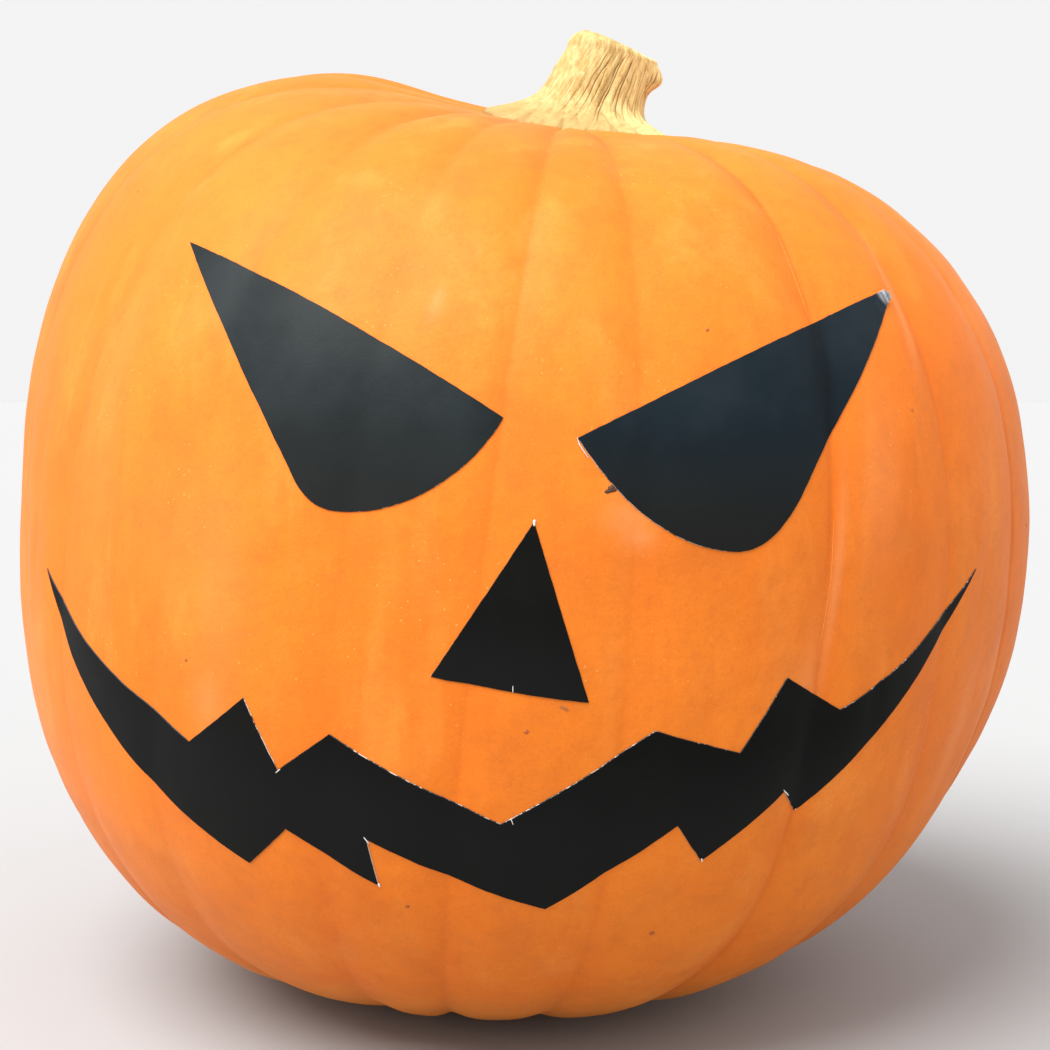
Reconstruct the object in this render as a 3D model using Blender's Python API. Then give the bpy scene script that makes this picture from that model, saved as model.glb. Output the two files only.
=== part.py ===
"""A whole pumpkin with its dry stem, and a face of black film stuck on its skin.

Run it with: blender --background --python part.py
Sizes are metres unless a name ends in _MM or _DEG. +Z is up and the face looks along -Y.
The origin is the middle of the flat spot that the pumpkin stands on.

The pumpkin is described in its own growing frame: its radial centre is the origin and its stem
grows along +Z. A direction there is an azimuth, 0 facing -Y and +90 facing +X, and an elevation.
"""
import math

import bmesh
import bpy
from mathutils import Matrix, Vector
from mathutils.geometry import tessellate_polygon

# ---------------------------------------------------------------- the fruit

GIRTH_RADIUS = 0.165        # half the widest girth
TOP_RADIUS = 0.1485         # centre to where the top would be without its hollow
BOTTOM_RADIUS = 0.165       # centre to the blossom end
TOP_FULLNESS = 2.25         # 2 makes an ellipse, more makes a squarer shoulder
BOTTOM_FULLNESS = 2.62
LEAN_DEG = 6.0              # the grown axis leans over towards +X
FLAT_SPOT_DEPTH = 0.0025    # how much of the round underside the resting spot takes off

# Uneven growth: azimuth, elevation, spread (degrees) and height (metres).
SWELLS = (
    (-101, 44, 26, 0.016),      # the left shoulder stands up
    (110, -56, 45, -0.0175),    # the lower right side is drawn in
    (86, -9, 17, 0.006),        # the right cheek is full
    (129, 87, 34, -0.0295),     # the wide hollow round the stem
    (150, 84, 14, 0.012),       # the seat that the stem grows from
    (115, -80, 16, 0.0055),     # the side of the base that it stands on
    (-125, 63, 18, 0.0043),     # the left shoulder's back
    (42, 52, 20, 0.0029),       # the right shoulder's front
    (-103, 8, 22, 0.0044),      # the left cheek is full
    (-75, -66, 18, 0.0031),     # and so is the base below it
    (194, 61, 26, 0.0014),      # the back shoulder
    (7, 60, 19, -0.0039),       # the front shoulder dips
    (-108.5, 60.5, 10, 0.0027),  # a hump on the left shoulder's back
    (38, 76, 19, 0.0024),       # the rise in front of the stem, on the right
)

# Grooves between the ribs: azimuth at mid height, how far the groove swings towards a larger
# azimuth between mid height and the stem, and its share of the full depth.
GROOVES = (
    (-93, -5, 0.5), (-72, -6, 0.6), (-55, 3, 0.7), (-37, 6, 0.7), (-17.5, 1, 0.7),
    (-4.2, 1, 0.8), (9.9, -3, 0.8), (30.4, -2.6, 1.1), (48.3, -7, 0.8), (67, -8, 0.8),
    (85, -6, 1.0), (103, -3, 1.0), (119, 0, 1.0), (138, 2, 1.0), (156, 1, 1.0),
    (173, -2, 1.0), (191, -2, 1.0), (209, 1, 1.0), (228, 3, 1.0), (247, 0, 1.0),
)
GROOVE_DEPTH_MID = 0.0018       # at mid height
GROOVE_DEPTH_SHOULDER = 0.0045  # extra, towards the shoulder and the underside
GROOVE_FADE_DEG = 20            # the grooves die out this near the stem and the blossom end
FRONT_FADE_DEG = 46             # those in front die out sooner below the stem
FRONT_GROOVES_DEG = (-20, 35)   # the azimuths between which a groove is in front
RIB_ROUNDNESS = 3.0             # how flat a rib's back is before it falls into the groove

STEPS_PER_RIB = 5
SKIN_ROWS = 28

# ---------------------------------------------------------------- the stem

STEM_NECK_RADIUS = 0.0176
STEM_TOP_RADIUS = 0.0137
STEM_WAIST_START = 0.005        # the stem narrows from here up
STEM_LENGTH = 0.0253            # from the skin to the middle of the cut
STEM_SUNK = 0.005               # how far the loft starts below the skin
STEM_START_X = 0.0048
STEM_DRIFT_X = 0.0070           # how far the cut end has grown towards +X
STEM_DRIFT_BEND = 0.85
STEM_CUT_SLOPE_DEG = 19         # the cut falls towards +X
STEM_RIM_ROUNDING_RIGHT = 0.0016
STEM_RIM_ROUNDING_LEFT = 0.0056
STEM_RIBS = 10
STEM_RIB_DEPTH = 0.0006
STEM_TWIST_DEG = 20
STEM_FOOT_FLARE = 0.0045        # how far the foot spreads past the neck
STEM_FLARE_HEIGHT = 0.0042      # the foot's spread falls to a third over this height
STEM_FOOT_HUG = 0.009           # below about this height the stem follows the skin's slope

# Tongues of the foot: azimuth, length and narrowness.
STEM_LOBES = (
    (-80, 0.0100, 2.6),
    (118, 0.0085, 26.0),
    (18, 0.0095, 2.2),
    (200, 0.0030, 4.0),
)
STEM_NUB_AZIMUTH_DEG = 94       # a blunt broken point
STEM_NUB_RISE = 0.0146
STEM_NUB_REACH = 0.0044
STEM_NUB_HEIGHT = 0.0048
STEM_NUB_NARROWNESS = 16
STEM_STEPS_ROUND = 36
STEM_STEPS_UP = 7
STEM_SPACING = 1.35             # above 1 the steps are closer together at the foot
SEAT_ROUNDS = 5                 # rounds of the search for the skin under the foot

# ---------------------------------------------------------------- the film

CLEARANCE = 0.0003          # between neighbouring solids
FILM_THICKNESS = 0.0004
CUTTER_INNER = 0.3          # the film cutters run from here ...
CUTTER_OUTER = 4.0          # ... to here, as multiples of the skin's radius
OUTLINE_STEP_MM = 8.0       # straight edges are divided to follow the round skin
CURVE_STEPS = 8

# Each film is drawn flat, in millimetres right of and above its anchor on the skin, as corners
# joined by straight cuts and by curves with two handles.
EYE_LEFT_ANCHOR_DEG = (-19, 12)
EYE_RIGHT_ANCHOR_DEG = (21, 14)
NOSE_ANCHOR_DEG = (0, -5)
MOUTH_ANCHOR_DEG = (0, -18)

NOSE_CORNERS_MM = ((0.2, 30.5), (19.5, -16), (-22.5, -13.5))
MOUTH_TIP_LEFT_MM = (-168, 5.5)
MOUTH_TIP_RIGHT_MM = (156, 45)
MOUTH_UPPER_MM = (
    (-90, -15), (-74, 5), (-61, -12), (-48, 2), (0, -14), (38.5, 13.5), (63, 6), (76.5, 26), (96, 13),
)
MOUTH_LOWER_MM = (
    (84, -17), (79, -9), (55, -26), (47, -14), (14, -39.5), (-34.5, -25), (-30, -38.5), (-57, -29),
    (-67, -45),
)

# ---------------------------------------------------------------- colours

SKIN_COLOUR = (0.90, 0.25, 0.035, 1.0)
STEM_COLOUR = (0.62, 0.44, 0.19, 1.0)
EYE_COLOUR = (0.022, 0.026, 0.030, 1.0)
FACE_COLOUR = (0.010, 0.011, 0.012, 1.0)


def clear_scene():
    for item in list(bpy.data.objects):
        bpy.data.objects.remove(item, do_unlink=True)


def make_material(name, colour, roughness):
    material = bpy.data.materials.new(name)
    material.use_nodes = True
    shader = material.node_tree.nodes["Principled BSDF"]
    shader.inputs["Base Color"].default_value = colour
    shader.inputs["Roughness"].default_value = roughness
    shader.inputs["Metallic"].default_value = 0.0
    return material


def add_object(name, bm, parent, material=None, smooth=True):
    bmesh.ops.recalc_face_normals(bm, faces=bm.faces)
    if bm.calc_volume(signed=True) < 0:
        bmesh.ops.reverse_faces(bm, faces=bm.faces)
    for face in bm.faces:
        face.smooth = smooth
    mesh = bpy.data.meshes.new(name)
    bm.to_mesh(mesh)
    bm.free()
    if material is not None:
        mesh.materials.append(material)
    item = bpy.data.objects.new(name, mesh)
    item.parent = parent
    bpy.context.scene.collection.objects.link(item)
    return item


def cut_with(item, cutter, operation):
    modifier = item.modifiers.new(operation.lower(), "BOOLEAN")
    modifier.operation = operation
    modifier.object = cutter
    modifier.solver = "EXACT"
    cutter.hide_render = True
    cutter.display_type = "WIRE"


# ---------------------------------------------------------------- the skin's shape


def direction(azimuth, elevation):
    """Unit vector of an azimuth and an elevation, in radians."""
    flat = math.cos(elevation)
    return Vector((flat * math.sin(azimuth), -flat * math.cos(azimuth), math.sin(elevation)))


def ungrooved_radius(azimuth, elevation):
    """Distance from the radial centre to the skin, before the grooves."""
    upper = elevation >= 0
    height = TOP_RADIUS if upper else BOTTOM_RADIUS
    fullness = TOP_FULLNESS if upper else BOTTOM_FULLNESS
    across = (abs(math.cos(elevation)) / GIRTH_RADIUS) ** fullness
    along = (abs(math.sin(elevation)) / height) ** fullness
    radius = (across + along) ** (-1 / fullness)
    towards = direction(azimuth, elevation)
    for swell_azimuth, swell_elevation, spread, rise in SWELLS:
        middle = direction(math.radians(swell_azimuth), math.radians(swell_elevation))
        angle = math.degrees(towards.angle(middle, 0.0))
        radius += rise * math.exp(-(angle / spread) ** 2)
    return radius


def groove_azimuth(number, elevation):
    """Azimuth of a groove, counted on past the last one for the next time round."""
    turn, index = divmod(number, len(GROOVES))
    middle, swing, _ = GROOVES[index]
    return math.radians(middle + swing * math.sin(elevation) + 360 * turn)


def groove_depth(number, elevation):
    """Depth of a groove at an elevation."""
    middle, _, share = GROOVES[number % len(GROOVES)]
    steepness = math.sin(elevation) ** 4
    in_front = elevation > 0 and FRONT_GROOVES_DEG[0] < middle < FRONT_GROOVES_DEG[1]
    from_pole = 90 - abs(math.degrees(elevation))
    fade = min(1.0, from_pole / (FRONT_FADE_DEG if in_front else GROOVE_FADE_DEG))
    return share * fade * (GROOVE_DEPTH_MID + GROOVE_DEPTH_SHOULDER * steepness)


def skin_vertex(column, row, lift):
    """Skin point of a grid column and row, moved outwards by lift."""
    elevation = math.radians(-90 + 180 * row / SKIN_ROWS)
    rib, step = divmod(column, STEPS_PER_RIB)
    across = step / STEPS_PER_RIB
    low_side = groove_azimuth(rib, elevation)
    high_side = groove_azimuth(rib + 1, elevation)
    azimuth = low_side + (high_side - low_side) * across
    from_crest = abs(2 * across - 1)
    nearer = rib if across < 0.5 else rib + 1
    drop = groove_depth(nearer, elevation) * from_crest ** RIB_ROUNDNESS
    return direction(azimuth, elevation) * (ungrooved_radius(azimuth, elevation) - drop + lift)


def add_skin(bm, lift, inwards=False):
    """Add the closed skin as triangles, so that every layer of it has the same facets."""
    columns = STEPS_PER_RIB * len(GROOVES)
    low_pole = bm.verts.new(skin_vertex(0, 0, lift))
    high_pole = bm.verts.new(skin_vertex(0, SKIN_ROWS, lift))
    rows = [
        [bm.verts.new(skin_vertex(column, row, lift)) for column in range(columns)]
        for row in range(1, SKIN_ROWS)
    ]
    triangles = []
    for column in range(columns):
        after = (column + 1) % columns
        triangles.append((low_pole, rows[0][after], rows[0][column]))
        triangles.append((high_pole, rows[-1][column], rows[-1][after]))
        for lower, upper in zip(rows, rows[1:]):
            triangles.append((lower[column], lower[after], upper[after]))
            triangles.append((lower[column], upper[after], upper[column]))
    for triangle in triangles:
        bm.faces.new(reversed(triangle) if inwards else triangle)


# ---------------------------------------------------------------- pumpkin


def find_stance():
    """Where the radial centre stands, with the flat spot's middle at the origin."""
    lean = Matrix.Rotation(math.radians(LEAN_DEG), 3, "Y")
    columns = STEPS_PER_RIB * len(GROOVES)
    points = [
        lean @ skin_vertex(column, row, 0.0) for row in range(1, SKIN_ROWS) for column in range(columns)
    ]
    floor = min(point.z for point in points) + FLAT_SPOT_DEPTH
    spot = [point for point in points if point.z < floor]
    middle = sum(spot, Vector()) / len(spot)
    return Vector((-middle.x, -middle.y, -floor))


def make_growing_frame():
    frame = bpy.data.objects.new("growing_frame", None)
    bpy.context.scene.collection.objects.link(frame)
    frame.location = find_stance()
    frame.rotation_euler = (0.0, math.radians(LEAN_DEG), 0.0)
    bpy.context.view_layer.update()
    return frame


def make_pumpkin(frame):
    """The whole fruit, solid, with the spot it stands on cut flat."""
    bm = bmesh.new()
    add_skin(bm, 0.0)
    to_growing = frame.matrix_world.inverted()
    floor_point = to_growing @ Vector((0.0, 0.0, 0.0))
    floor_up = to_growing.to_3x3() @ Vector((0.0, 0.0, 1.0))
    cut = bmesh.ops.bisect_plane(
        bm,
        geom=bm.verts[:] + bm.edges[:] + bm.faces[:],
        plane_co=floor_point,
        plane_no=floor_up,
        clear_inner=True,
    )
    rim = [item for item in cut["geom_cut"] if isinstance(item, bmesh.types.BMEdge)]
    bmesh.ops.edgeloop_fill(bm, edges=rim)
    add_object("pumpkin", bm, frame, make_material("pumpkin_skin", SKIN_COLOUR, 0.45))


# ---------------------------------------------------------------- stem


def skin_height(across, deep):
    """Height of the skin over a point beside the growing axis."""
    height = TOP_RADIUS
    for _ in range(SEAT_ROUNDS):
        azimuth = math.atan2(across, -deep)
        elevation = math.atan2(height, math.hypot(across, deep))
        radius = ungrooved_radius(azimuth, elevation)
        height = math.sqrt(radius ** 2 - across ** 2 - deep ** 2)
    return height


def smooth_share(value, low, high):
    """Eased share of the way from low to high."""
    share = min(1.0, max(0.0, (value - low) / (high - low)))
    return share * share * (3 - 2 * share)


def rim_rounding(angle):
    """Radius of the worn edge of the cut, larger on the left."""
    left = 0.5 - 0.5 * math.sin(angle)
    return STEM_RIM_ROUNDING_RIGHT + (STEM_RIM_ROUNDING_LEFT - STEM_RIM_ROUNDING_RIGHT) * left


def stem_radius(angle, rise):
    """The stem's radius at an angle, at a height above its foot."""
    narrowed = smooth_share(rise, STEM_WAIST_START, STEM_LENGTH)
    radius = STEM_NECK_RADIUS + (STEM_TOP_RADIUS - STEM_NECK_RADIUS) * narrowed
    flare = STEM_FOOT_FLARE
    for azimuth, length, narrowness in STEM_LOBES:
        beside = 1 - math.cos(angle - math.radians(azimuth))
        flare += length * math.exp(-narrowness * beside)
    radius += flare * math.exp(-((rise / STEM_FLARE_HEIGHT) ** 2))
    turned = angle - math.radians(STEM_TWIST_DEG) * rise / STEM_LENGTH
    radius += STEM_RIB_DEPTH * math.cos(STEM_RIBS * turned)
    beside = 1 - math.cos(angle - math.radians(STEM_NUB_AZIMUTH_DEG))
    above = (rise - STEM_NUB_RISE) / STEM_NUB_HEIGHT
    return radius + STEM_NUB_REACH * math.exp(-STEM_NUB_NARROWNESS * beside - above ** 2)


def stem_wall_point(step_up, angle):
    """Point on the stem's side. Step -1 is below the skin and step 0 is on it."""
    top_across = (STEM_TOP_RADIUS - rim_rounding(angle)) * math.sin(angle)
    full_rise = STEM_LENGTH - top_across * math.tan(math.radians(STEM_CUT_SLOPE_DEG))
    full_rise -= rim_rounding(angle)
    rise = full_rise * (max(0, step_up) / STEM_STEPS_UP) ** STEM_SPACING
    radius = stem_radius(angle, rise)
    across = STEM_START_X + STEM_DRIFT_X * (rise / STEM_LENGTH) ** STEM_DRIFT_BEND
    across += radius * math.sin(angle)
    deep = -radius * math.cos(angle)
    hug = math.exp(-((rise / STEM_FOOT_HUG) ** 2))
    height = skin_height(across, deep) * hug + skin_height(STEM_START_X, 0.0) * (1 - hug) + rise
    if step_up < 0:
        height -= STEM_SUNK
    return Vector((across, deep, height))


def stem_rings():
    """Rings of points from below the skin, up the side and over the rounded edge of the cut."""
    angles = [2 * math.pi * step / STEM_STEPS_ROUND for step in range(STEM_STEPS_ROUND)]
    rings = [[stem_wall_point(step, angle) for angle in angles] for step in range(-1, STEM_STEPS_UP + 1)]
    rim = rings[-1]
    middle = sum(rim, Vector()) / len(rim)
    for bend in (math.pi / 4, math.pi / 2):
        ring = []
        for angle, point in zip(angles, rim):
            inward = Vector((middle.x - point.x, middle.y - point.y, 0.0)).normalized()
            curl = inward * (1 - math.cos(bend)) + Vector((0.0, 0.0, math.sin(bend)))
            ring.append(point + curl * rim_rounding(angle))
        rings.append(ring)
    return rings


def make_stem(frame):
    """The dry stem, lofted from below the skin and cut to seat on it."""
    bm = bmesh.new()
    rings = [[bm.verts.new(point) for point in ring] for ring in stem_rings()]
    for lower, upper in zip(rings, rings[1:]):
        for index in range(STEM_STEPS_ROUND):
            after = (index + 1) % STEM_STEPS_ROUND
            bm.faces.new((lower[index], lower[after], upper[after], upper[index]))
    bmesh.ops.poke(bm, faces=[bm.faces.new(reversed(rings[0]))])
    bmesh.ops.poke(bm, faces=[bm.faces.new(rings[-1])])
    stem = add_object("stem", bm, frame, make_material("dry_stem", STEM_COLOUR, 0.8))
    bed = bmesh.new()
    add_skin(bed, CLEARANCE)
    cut_with(stem, add_object("stem_bed", bed, frame), "DIFFERENCE")


# ---------------------------------------------------------------- films


def curve(start, start_handle, end_handle, end):
    """Points after start and up to end on a curve with two handles."""
    points = []
    for step in range(1, CURVE_STEPS + 1):
        t = step / CURVE_STEPS
        s = 1 - t
        weights = (s ** 3, 3 * s * s * t, 3 * s * t * t, t ** 3)
        knots = (start, start_handle, end_handle, end)
        points.append(tuple(sum(w * knot[axis] for w, knot in zip(weights, knots)) for axis in (0, 1)))
    return points


def eye_outline(tip, corner, low, side, handles):
    """An eye: its tip, a brow to the inner corner, a round belly and a long outer side."""
    brow, belly, turn, outside = handles
    outline = list(tip)
    outline += curve(tip[-1], brow[0], brow[1], corner)
    outline += curve(corner, belly[0], belly[1], low)
    outline += curve(low, turn[0], turn[1], side)
    outline += curve(side, outside[0], outside[1], tip[0])[:-1]
    return outline


def left_eye_outline():
    return eye_outline(
        tip=((-68.5, 51.5),),
        corner=(42.2, 9.2),
        low=(2, -22),
        side=(-14, -12),
        handles=(
            ((-45, 43.5), (-20, 36)),
            ((38, -4), (24, -20.5)),
            ((-6, -22.5), (-10, -18)),
            ((-26, 4), (-49, 31)),
        ),
    )


def right_eye_outline():
    return eye_outline(
        tip=((50.9, 48.6), (52.1, 49.9), (50.1, 52.6), (47.6, 51.2)),
        corner=(-49.5, 0.5),
        low=(-8, -27.5),
        side=(14, -12),
        handles=(
            ((30, 42.5), (-10, 22)),
            ((-39, -15), (-25, -26.5)),
            ((3, -28.5), (8, -22)),
            ((22, 4), (37, 27)),
        ),
    )


def mouth_outline():
    """A jagged grin whose two ends sweep up to points."""
    upper = MOUTH_UPPER_MM
    lower = MOUTH_LOWER_MM
    outline = [MOUTH_TIP_LEFT_MM]
    outline += curve(MOUTH_TIP_LEFT_MM, (-148, -5), (-118, -8), upper[0])
    outline += upper[1:]
    outline += curve(upper[-1], (116, 20), (137, 30), MOUTH_TIP_RIGHT_MM)
    outline += curve(MOUTH_TIP_RIGHT_MM, (138, 22), (106, -2), lower[0])
    outline += lower[1:]
    outline += curve(lower[-1], (-106, -36), (-144, -20), MOUTH_TIP_LEFT_MM)[:-1]
    return outline


def divide_edges(outline):
    """The outline with its long straight edges divided evenly."""
    divided = []
    for start, end in zip(outline, outline[1:] + outline[:1]):
        pieces = max(1, math.ceil(math.dist(start, end) / OUTLINE_STEP_MM))
        for piece in range(pieces):
            share = piece / pieces
            divided.append(tuple(a + (b - a) * share for a, b in zip(start, end)))
    return divided


def sheet_axes(anchor_deg):
    """The anchor's direction, and the film sheet's right and up directions there."""
    azimuth, elevation = (math.radians(angle) for angle in anchor_deg)
    right = Vector((math.cos(azimuth), math.sin(azimuth), 0.0))
    return direction(azimuth, elevation), right, direction(azimuth, elevation + math.pi / 2)


def wrapped_direction(point_mm, anchor_deg):
    """Direction from the radial centre to where a point of flat film lands on the round skin."""
    anchor, right, above = sheet_axes(anchor_deg)
    along = (right * point_mm[0] + above * point_mm[1]) / 1000
    if along.length == 0:
        return anchor
    turn = along.length / GIRTH_RADIUS
    return anchor * math.cos(turn) + along.normalized() * math.sin(turn)


def make_cutter(name, frame, outline, anchor_deg):
    """A wedge that widens from near the centre to far outside the skin, along the outline."""
    bm = bmesh.new()
    directions = [wrapped_direction(point, anchor_deg) for point in divide_edges(outline)]
    inner = [bm.verts.new(towards * GIRTH_RADIUS * CUTTER_INNER) for towards in directions]
    outer = [bm.verts.new(towards * GIRTH_RADIUS * CUTTER_OUTER) for towards in directions]
    count = len(directions)
    for index in range(count):
        after = (index + 1) % count
        bm.faces.new((inner[index], inner[after], outer[after], outer[index]))
    # Seen from the centre the caps' triangles never cross, as they are chosen on a tangent plane.
    anchor, right, above = sheet_axes(anchor_deg)
    seen = [
        Vector((towards.dot(right), towards.dot(above), 0.0)) / towards.dot(anchor)
        for towards in directions
    ]
    for corners in tessellate_polygon([seen]):
        bm.faces.new([inner[corner] for corner in corners])
        bm.faces.new([outer[corner] for corner in corners])
    return add_object(name, bm, frame, smooth=False)


def make_film(name, frame, outline, anchor_deg, material):
    """A layer that hugs the skin all round, cut down to the outline."""
    bm = bmesh.new()
    add_skin(bm, CLEARANCE + FILM_THICKNESS)
    add_skin(bm, CLEARANCE, inwards=True)
    mesh = bpy.data.meshes.new(name)
    bm.to_mesh(mesh)
    bm.free()
    mesh.materials.append(material)
    film = bpy.data.objects.new(name, mesh)
    film.parent = frame
    bpy.context.scene.collection.objects.link(film)
    cut_with(film, make_cutter(name + "_cutter", frame, outline, anchor_deg), "INTERSECT")


def make_face(frame):
    eye_film = make_material("eye_film", EYE_COLOUR, 0.35)
    face_film = make_material("face_film", FACE_COLOUR, 0.35)
    make_film("eye_left", frame, left_eye_outline(), EYE_LEFT_ANCHOR_DEG, eye_film)
    make_film("eye_right", frame, right_eye_outline(), EYE_RIGHT_ANCHOR_DEG, eye_film)
    make_film("nose", frame, list(NOSE_CORNERS_MM), NOSE_ANCHOR_DEG, face_film)
    make_film("mouth", frame, mouth_outline(), MOUTH_ANCHOR_DEG, face_film)


def main():
    clear_scene()
    frame = make_growing_frame()
    make_pumpkin(frame)
    make_stem(frame)
    make_face(frame)


main()
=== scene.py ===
"""Looks of the pumpkin with the stuck-on face: rind, dry stem, black film, blemishes and studio.

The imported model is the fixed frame, and every place here is worked out from its boxes. Lengths are
metres unless a name says millimetres, angles are degrees in the data and radians in the sums. The
fruit is described in its own growing frame: the radial centre is the origin, the stem grows along
+Z, azimuth 0 faces -Y and azimuth +90 faces +X. The whole frame then leans over towards +X.
"""
from __future__ import annotations

import logging
import math
from dataclasses import dataclass, field
from enum import Enum

import bmesh
import bpy
import numpy as np
from mathutils import Matrix, Vector, noise


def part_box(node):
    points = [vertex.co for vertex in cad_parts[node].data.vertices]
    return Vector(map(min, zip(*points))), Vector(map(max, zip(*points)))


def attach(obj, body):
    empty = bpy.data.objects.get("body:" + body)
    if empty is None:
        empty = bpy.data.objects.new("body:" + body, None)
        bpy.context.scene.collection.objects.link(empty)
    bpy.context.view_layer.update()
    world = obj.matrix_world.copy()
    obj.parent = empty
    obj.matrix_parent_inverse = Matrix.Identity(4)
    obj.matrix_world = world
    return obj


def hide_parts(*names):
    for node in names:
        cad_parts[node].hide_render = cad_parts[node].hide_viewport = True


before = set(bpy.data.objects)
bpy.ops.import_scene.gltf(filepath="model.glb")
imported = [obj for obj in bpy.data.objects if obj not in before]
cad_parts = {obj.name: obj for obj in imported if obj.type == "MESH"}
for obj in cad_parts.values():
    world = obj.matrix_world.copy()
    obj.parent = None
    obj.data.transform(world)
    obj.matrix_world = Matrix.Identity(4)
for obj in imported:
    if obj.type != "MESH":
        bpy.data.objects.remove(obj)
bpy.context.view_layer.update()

LOG = logging.getLogger("pumpkin")
MILLIMETRE = 0.001
FULL_TURN = 2 * math.pi
TINY = 1e-9
SEED_SHIFT = (1.0, -0.7, 1.3)
LUMP_ROUGHNESS = 1.0
LUMP_STEP = 2.0

EYE_LEFT_ANCHOR = (-19.0, 12.0)
EYE_RIGHT_ANCHOR = (21.0, 14.0)
NOSE_ANCHOR = (0.0, -5.0)
MOUTH_ANCHOR = (0.0, -18.0)

Points = np.ndarray
Colour = tuple[float, float, float, float]
Flat = tuple[float, float]
Axes = tuple[float, float, float]
Mesh = tuple[np.ndarray, list[tuple[int, ...]]]


# ------------------------------------------------------------------ sums used by every piece


def heading(azimuth: Points, elevation: Points) -> Points:
    """Unit vectors of azimuths and elevations.

    Args:
        azimuth: angles round the growing axis, in radians.
        elevation: angles above the girth, in radians.

    Returns:
        An array with one more axis, of length 3.
    """
    flat = np.cos(elevation)
    return np.stack([flat * np.sin(azimuth), -flat * np.cos(azimuth), np.sin(elevation)], axis=-1)


def smooth_step(value: Points, low: float, high: float) -> Points:
    """Eased share of the way from low to high.

    Args:
        value: where to ask.
        low: where the share is 0.
        high: where the share is 1. It may be below low.

    Returns:
        Shares from 0 to 1.
    """
    share = np.clip((np.asarray(value) - low) / (high - low), 0.0, 1.0)
    return share * share * (3 - 2 * share)


def lumps(points: Points, size: float, seed: float, octaves: int = 2) -> Points:
    """Soft unevenness at a set of points.

    Args:
        points: array of positions, any shape ending in 3.
        size: how wide one lump is.
        seed: shifts the pattern, so that two uses differ.
        octaves: how many finer layers are added.

    Returns:
        Values from about -1 to 1, one for each point.
    """
    shift = Vector([seed * share for share in SEED_SHIFT])
    flat = points.reshape(-1, 3) / size
    values = [noise.fractal(Vector(point) + shift, LUMP_ROUGHNESS, LUMP_STEP, octaves) for point in flat]
    return np.array(values).reshape(points.shape[:-1])


@dataclass(frozen=True)
class Wave:
    """Soft unevenness: how high it stands, how wide a lump is, and what shifts its pattern."""

    height: float
    size: float
    seed: float
    octaves: int = 2

    def over(self, points: Points) -> Points:
        """Its rise at a set of points."""
        return self.height * lumps(points, self.size, self.seed, self.octaves)


def new_piece(
    name: str,
    vertices: Points,
    faces: list[tuple[int, ...]],
    materials: list[bpy.types.Material],
    face_slots: list[int] | None = None,
) -> bpy.types.Object:
    """Make a smooth-shaded mesh object that rides with the fruit.

    Args:
        name: the piece's name.
        vertices: positions in the row frame.
        faces: vertex numbers of each face, seen from outside anticlockwise.
        materials: the mesh's material slots.
        face_slots: which slot each face takes, or None for the first.

    Returns:
        The new object.
    """
    mesh = bpy.data.meshes.new(name)
    mesh.from_pydata([tuple(vertex) for vertex in vertices], [], faces)
    for material in materials:
        mesh.materials.append(material)
    mesh.polygons.foreach_set("use_smooth", [True] * len(mesh.polygons))
    if face_slots is not None:
        mesh.polygons.foreach_set("material_index", face_slots)
    mesh.update()
    piece = bpy.data.objects.new(name, mesh)
    bpy.context.scene.collection.objects.link(piece)
    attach(piece, "root")
    LOG.info("%s: %d faces", name, len(faces))
    return piece


def paint(piece: bpy.types.Object, name: str, values: Points) -> None:
    """Store one number for each vertex, for the piece's finish to read.

    Args:
        piece: the mesh object.
        name: the attribute's name.
        values: one value for each vertex.
    """
    attribute = piece.data.attributes.new(name, "FLOAT", "POINT")
    attribute.data.foreach_set("value", np.asarray(values, dtype=np.float32).ravel())


# ------------------------------------------------------------------ finishes


@dataclass(frozen=True)
class Cloud:
    """Soft noise: scale features in a metre, or stretch of them along each axis."""

    scale: float
    detail: float = 3.0
    rough: float = 0.5
    stretch: Axes | None = None


@dataclass(frozen=True)
class Layer:
    """A cloudy layer of colour over a finish.

    It covers a place by strength where the cloud is above high, and not at all below low.
    """

    tone: Colour
    strength: float
    cloud: Cloud
    low: float
    high: float


@dataclass(frozen=True)
class Grain:
    """Fine relief of a surface, as high as height in metres."""

    cloud: Cloud
    height: float


@dataclass(frozen=True)
class Gloss:
    """How a surface's roughness wanders: its middle, and how far it swings in all."""

    roughness: float
    swing: float
    cloud: Cloud


@dataclass(frozen=True)
class Dots:
    """Scattered round dots: cells in a metre, radius in cells, and the share of cells with a dot."""

    cells: float
    radius: float
    share: float
    strength: float
    rim: float = 0.55


class MixSocket(Enum):
    """Numbers of the colour sockets on Blender's Mix node, which shares its names among types."""

    UNDER = 6
    OVER = 7
    RESULT = 2


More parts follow.
